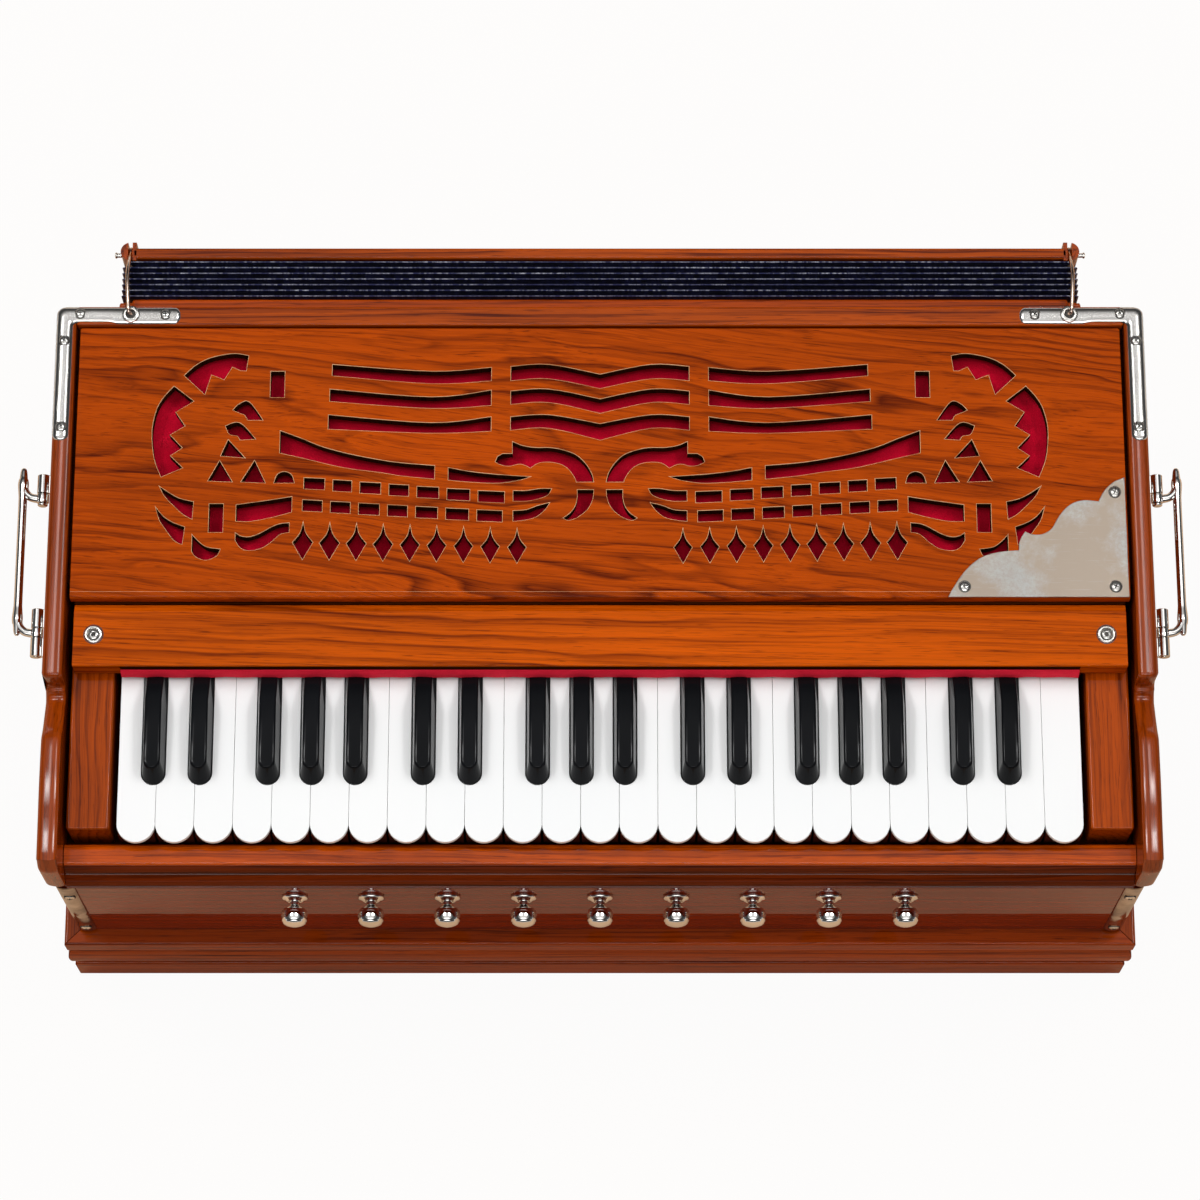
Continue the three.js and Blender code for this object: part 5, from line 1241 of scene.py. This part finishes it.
def bellows_board():
    """The outer board with a slotted lobe and a pin for the hook at each end, and the inner board's nubs."""
    for side, name in SIDES:
        builder = bmesh.new()
        nub = [(0, -4), (2.2, -4), (2.2, 3.6), (1.9, 4.6), (1.9, 6.6), (1.0, 7.2), (0, 7.4)]
        add_turned(builder, nub, (side, 0, 0), (side * 272.4, (BODY_BACK + INNER_BACK) / 2, 249.5), 20)
        finish_mesh(f"bellows_nub_{name}", builder, "end", "case", sharp=50)
    builder = bmesh.new()
    add_box(builder, -BOARD_HALF, BOARD_HALF, BOARD_FRONT, BOARD_BACK, BELLOWS_BOTTOM, BELLOWS_TOP)
    finish_mesh("bellows_outer_board", builder, "rail", "bellows_board", ("bellows_board",),
                bevel=1.8, steps=4)
    slot, inner, bottom, slot_bottom = 1.3, BOARD_HALF - 3, 227, 242.3
    whole = [(inner, LOBE_Y - LOBE_RADIUS), (inner, LOBE_Y + LOBE_RADIUS),
             *arc(LOBE_X, LOBE_Y, LOBE_RADIUS, math.pi / 2, -math.pi / 2, 12)]
    for side, name in SIDES:
        builder = bmesh.new()
        for low, high in ((inner, LOBE_X - slot), (LOBE_X + slot, LOBE_X + LOBE_RADIUS)):
            cut = [(min(max(a, low), high), b) for a, b in whole]
            kept = [(side * a, b) for i, (a, b) in enumerate(cut) if math.dist((a, b), cut[i - 1]) > 0.01]
            add_prism(builder, kept, "z", bottom, BELLOWS_TOP)
        add_prism(builder, [(side * a, b) for a, b in whole], "z", bottom, slot_bottom)
        finish_mesh(f"bellows_lobe_{name}", builder, "end", "bellows_board", bevel=0.9, steps=3,
                    sharp=50)
        builder = bmesh.new()
        pin = [(0, -2.5), (1.3, -2.5), (1.3, 8.2), (1.75, 8.4), (1.75, 9.1), (1.2, 9.45), (0, 9.5)]
        add_turned(builder, pin, (side, 0, 0), (side * LOBE_X, LOBE_Y, PIN_Z), 20)
        finish_mesh(f"bellows_pin_{name}", builder, "nickel", "bellows_board", sharp=50)


# Floor, lights and camera

def ground():
    """A plain floor that is white to the camera and throws a warm light back."""
    paint = Paint("pale_floor", Roughness=0.9, Specular_IOR_Level=0.1)
    paint.set("Base Color", paint.mix(paint.noise(paint.place, 40.0, 3.0), (0.74, 0.48, 0.28),
                                      (0.76, 0.50, 0.30)))
    glow = paint.node("ShaderNodeEmission")
    path = paint.node("ShaderNodeLightPath").outputs
    seen = paint.math("MULTIPLY", path["Is Camera Ray"], 0.955)
    seen = paint.math("MAXIMUM", seen, paint.math("MULTIPLY", path["Is Glossy Ray"], 0.03))
    blend = paint.fed("ShaderNodeMixShader", (seen, paint.shader.outputs[0], glow.outputs[0]))
    paint.feed(paint.out.inputs[0], blend.outputs[0])
    mesh = bpy.data.meshes.new("floor")
    half = 6.0
    mesh.from_pydata([(-half, -half, 0), (half, -half, 0), (half, half, 0), (-half, half, 0)], [],
                     [(0, 1, 2, 3)])
    mesh.materials.append(paint.material)
    floor = bpy.data.objects.new("floor", mesh)
    bpy.context.scene.collection.objects.link(floor)


def surroundings():
    """White to the camera, even to other light, and to shiny surfaces a banded dome with soft pale cards."""
    world = bpy.data.worlds.new("studio")
    bpy.context.scene.world = world
    world.use_nodes = True
    nodes = Nodes(world.node_tree)
    background = world.node_tree.nodes["Background"]
    background.inputs["Color"].default_value = (1, 1, 1, 1)
    path = nodes.node("ShaderNodeLightPath").outputs
    toward = nodes.node("ShaderNodeTexCoord").outputs["Generated"]
    height = nodes.fed("ShaderNodeSeparateXYZ", (toward,)).outputs["Z"]
    shown = nodes.ramp(height, (0.01, 1.0), (0.09, 0.10), (0.60, 0.05), (0.82, 0.36), (0.92, 0.84),
                       smooth=True)
    mirrored = nodes.math("MAXIMUM", path["Is Glossy Ray"], path["Is Transmission Ray"])
    # the cards' middles as directions from the object, half widths and depths in radians, and brightness
    for middle, wide, deep, brightness in (
        ((-0.37, 0.218, 0.90), 0.19, 0.075, 22.0), ((0.37, 0.218, 0.90), 0.19, 0.075, 22.0),
        ((-0.28, 0.33, 0.90), 0.10, 0.11, 5.5), ((0.28, 0.33, 0.90), 0.10, 0.11, 5.5),
        ((0.0, -0.588, 0.809), 0.6, 0.13, 8.0),
    ):
        middle = Vector(middle).normalized()
        across = Vector((middle.z, 0, -middle.x)).normalized()
        reach = [nodes.math("DIVIDE", nodes.math("ABSOLUTE", nodes.vector("DOT_PRODUCT", toward, axis)), half)
                 for axis, half in ((across, wide), (middle.cross(across), deep))]
        fade = nodes.node("ShaderNodeMapRange", interpolation_type="SMOOTHSTEP")
        for key, value in (("Value", nodes.math("MAXIMUM", *reach)), ("From Min", 1.0), ("From Max", 0.1),
                           ("To Min", 0.0), ("To Max", brightness)):
            nodes.feed(fade.inputs[key], value)
        card = nodes.math("MULTIPLY", fade.outputs["Result"], nodes.math("GREATER_THAN", height, 0.2))
        shown = nodes.math("ADD", shown, card)
    level = nodes.math("MAXIMUM", nodes.math("MULTIPLY", mirrored, shown), path["Is Camera Ray"])
    plain = nodes.math("SUBTRACT", 1.0, nodes.math("MAXIMUM", mirrored, path["Is Camera Ray"]))
    level = nodes.math("ADD", level, nodes.math("MULTIPLY", plain, 0.29))
    nodes.feed(background.inputs["Strength"], level)


def lamps():
    """Area lamps that light the object but are not mirrored in it."""
    for name, place, (wide, deep), power in (
        ("left_light", (-1.42, 1.0, 2.6), (1.0, 0.9), 18.0),
        ("right_light", (1.42, 1.0, 2.6), (1.0, 0.9), 12.5),
        ("top_light", (0.0, -0.3, 2.9), (2.0, 0.9), 14.0),
        ("left_softbox", (-1.3, 0.3, 2.6), (0.9, 0.3), 11.0),
        ("right_softbox", (1.3, 0.3, 2.6), (0.9, 0.3), 11.0),
        ("strip_light", (0.0, -1.75, 2.5), (2.6, 0.24), 6.5),
    ):
        data = bpy.data.lights.new(name, "AREA")
        data.shape = "RECTANGLE"
        data.size, data.size_y, data.energy = wide, deep, power
        lamp = bpy.data.objects.new(name, data)
        lamp.location = place
        lamp.visible_glossy = False
        lamp.rotation_euler = (Vector((0, 0, 0.15)) - Vector(place)).to_track_quat("-Z", "Y").to_euler()
        bpy.context.scene.collection.objects.link(lamp)


def camera():
    """The photograph's view, steeply down from in front."""
    data = bpy.data.cameras.new("camera")
    data.lens, data.sensor_width, data.clip_end = 120, 36, 50
    eye = bpy.data.objects.new("camera", data)
    eye.location = (0, -0.7118, 2.4175)
    eye.rotation_euler = (math.radians(17.614), 0, 0)
    bpy.context.scene.collection.objects.link(eye)
    bpy.context.scene.camera = eye
    bpy.context.scene.view_settings.view_transform = "Standard"


plinth()
body_boards()
slip()
arms()
key_blocks()
chamber_cloth()
felt_strip()
name_rail()
fret_panel()
corner_plate()
rear_brackets()
front_straps()
stop_rings()
handle_hinges()
naturals()
sharps()
stops()
hooks()
handles()
bellows_folds()
bellows_board()
ground()
surroundings()
lamps()
camera()
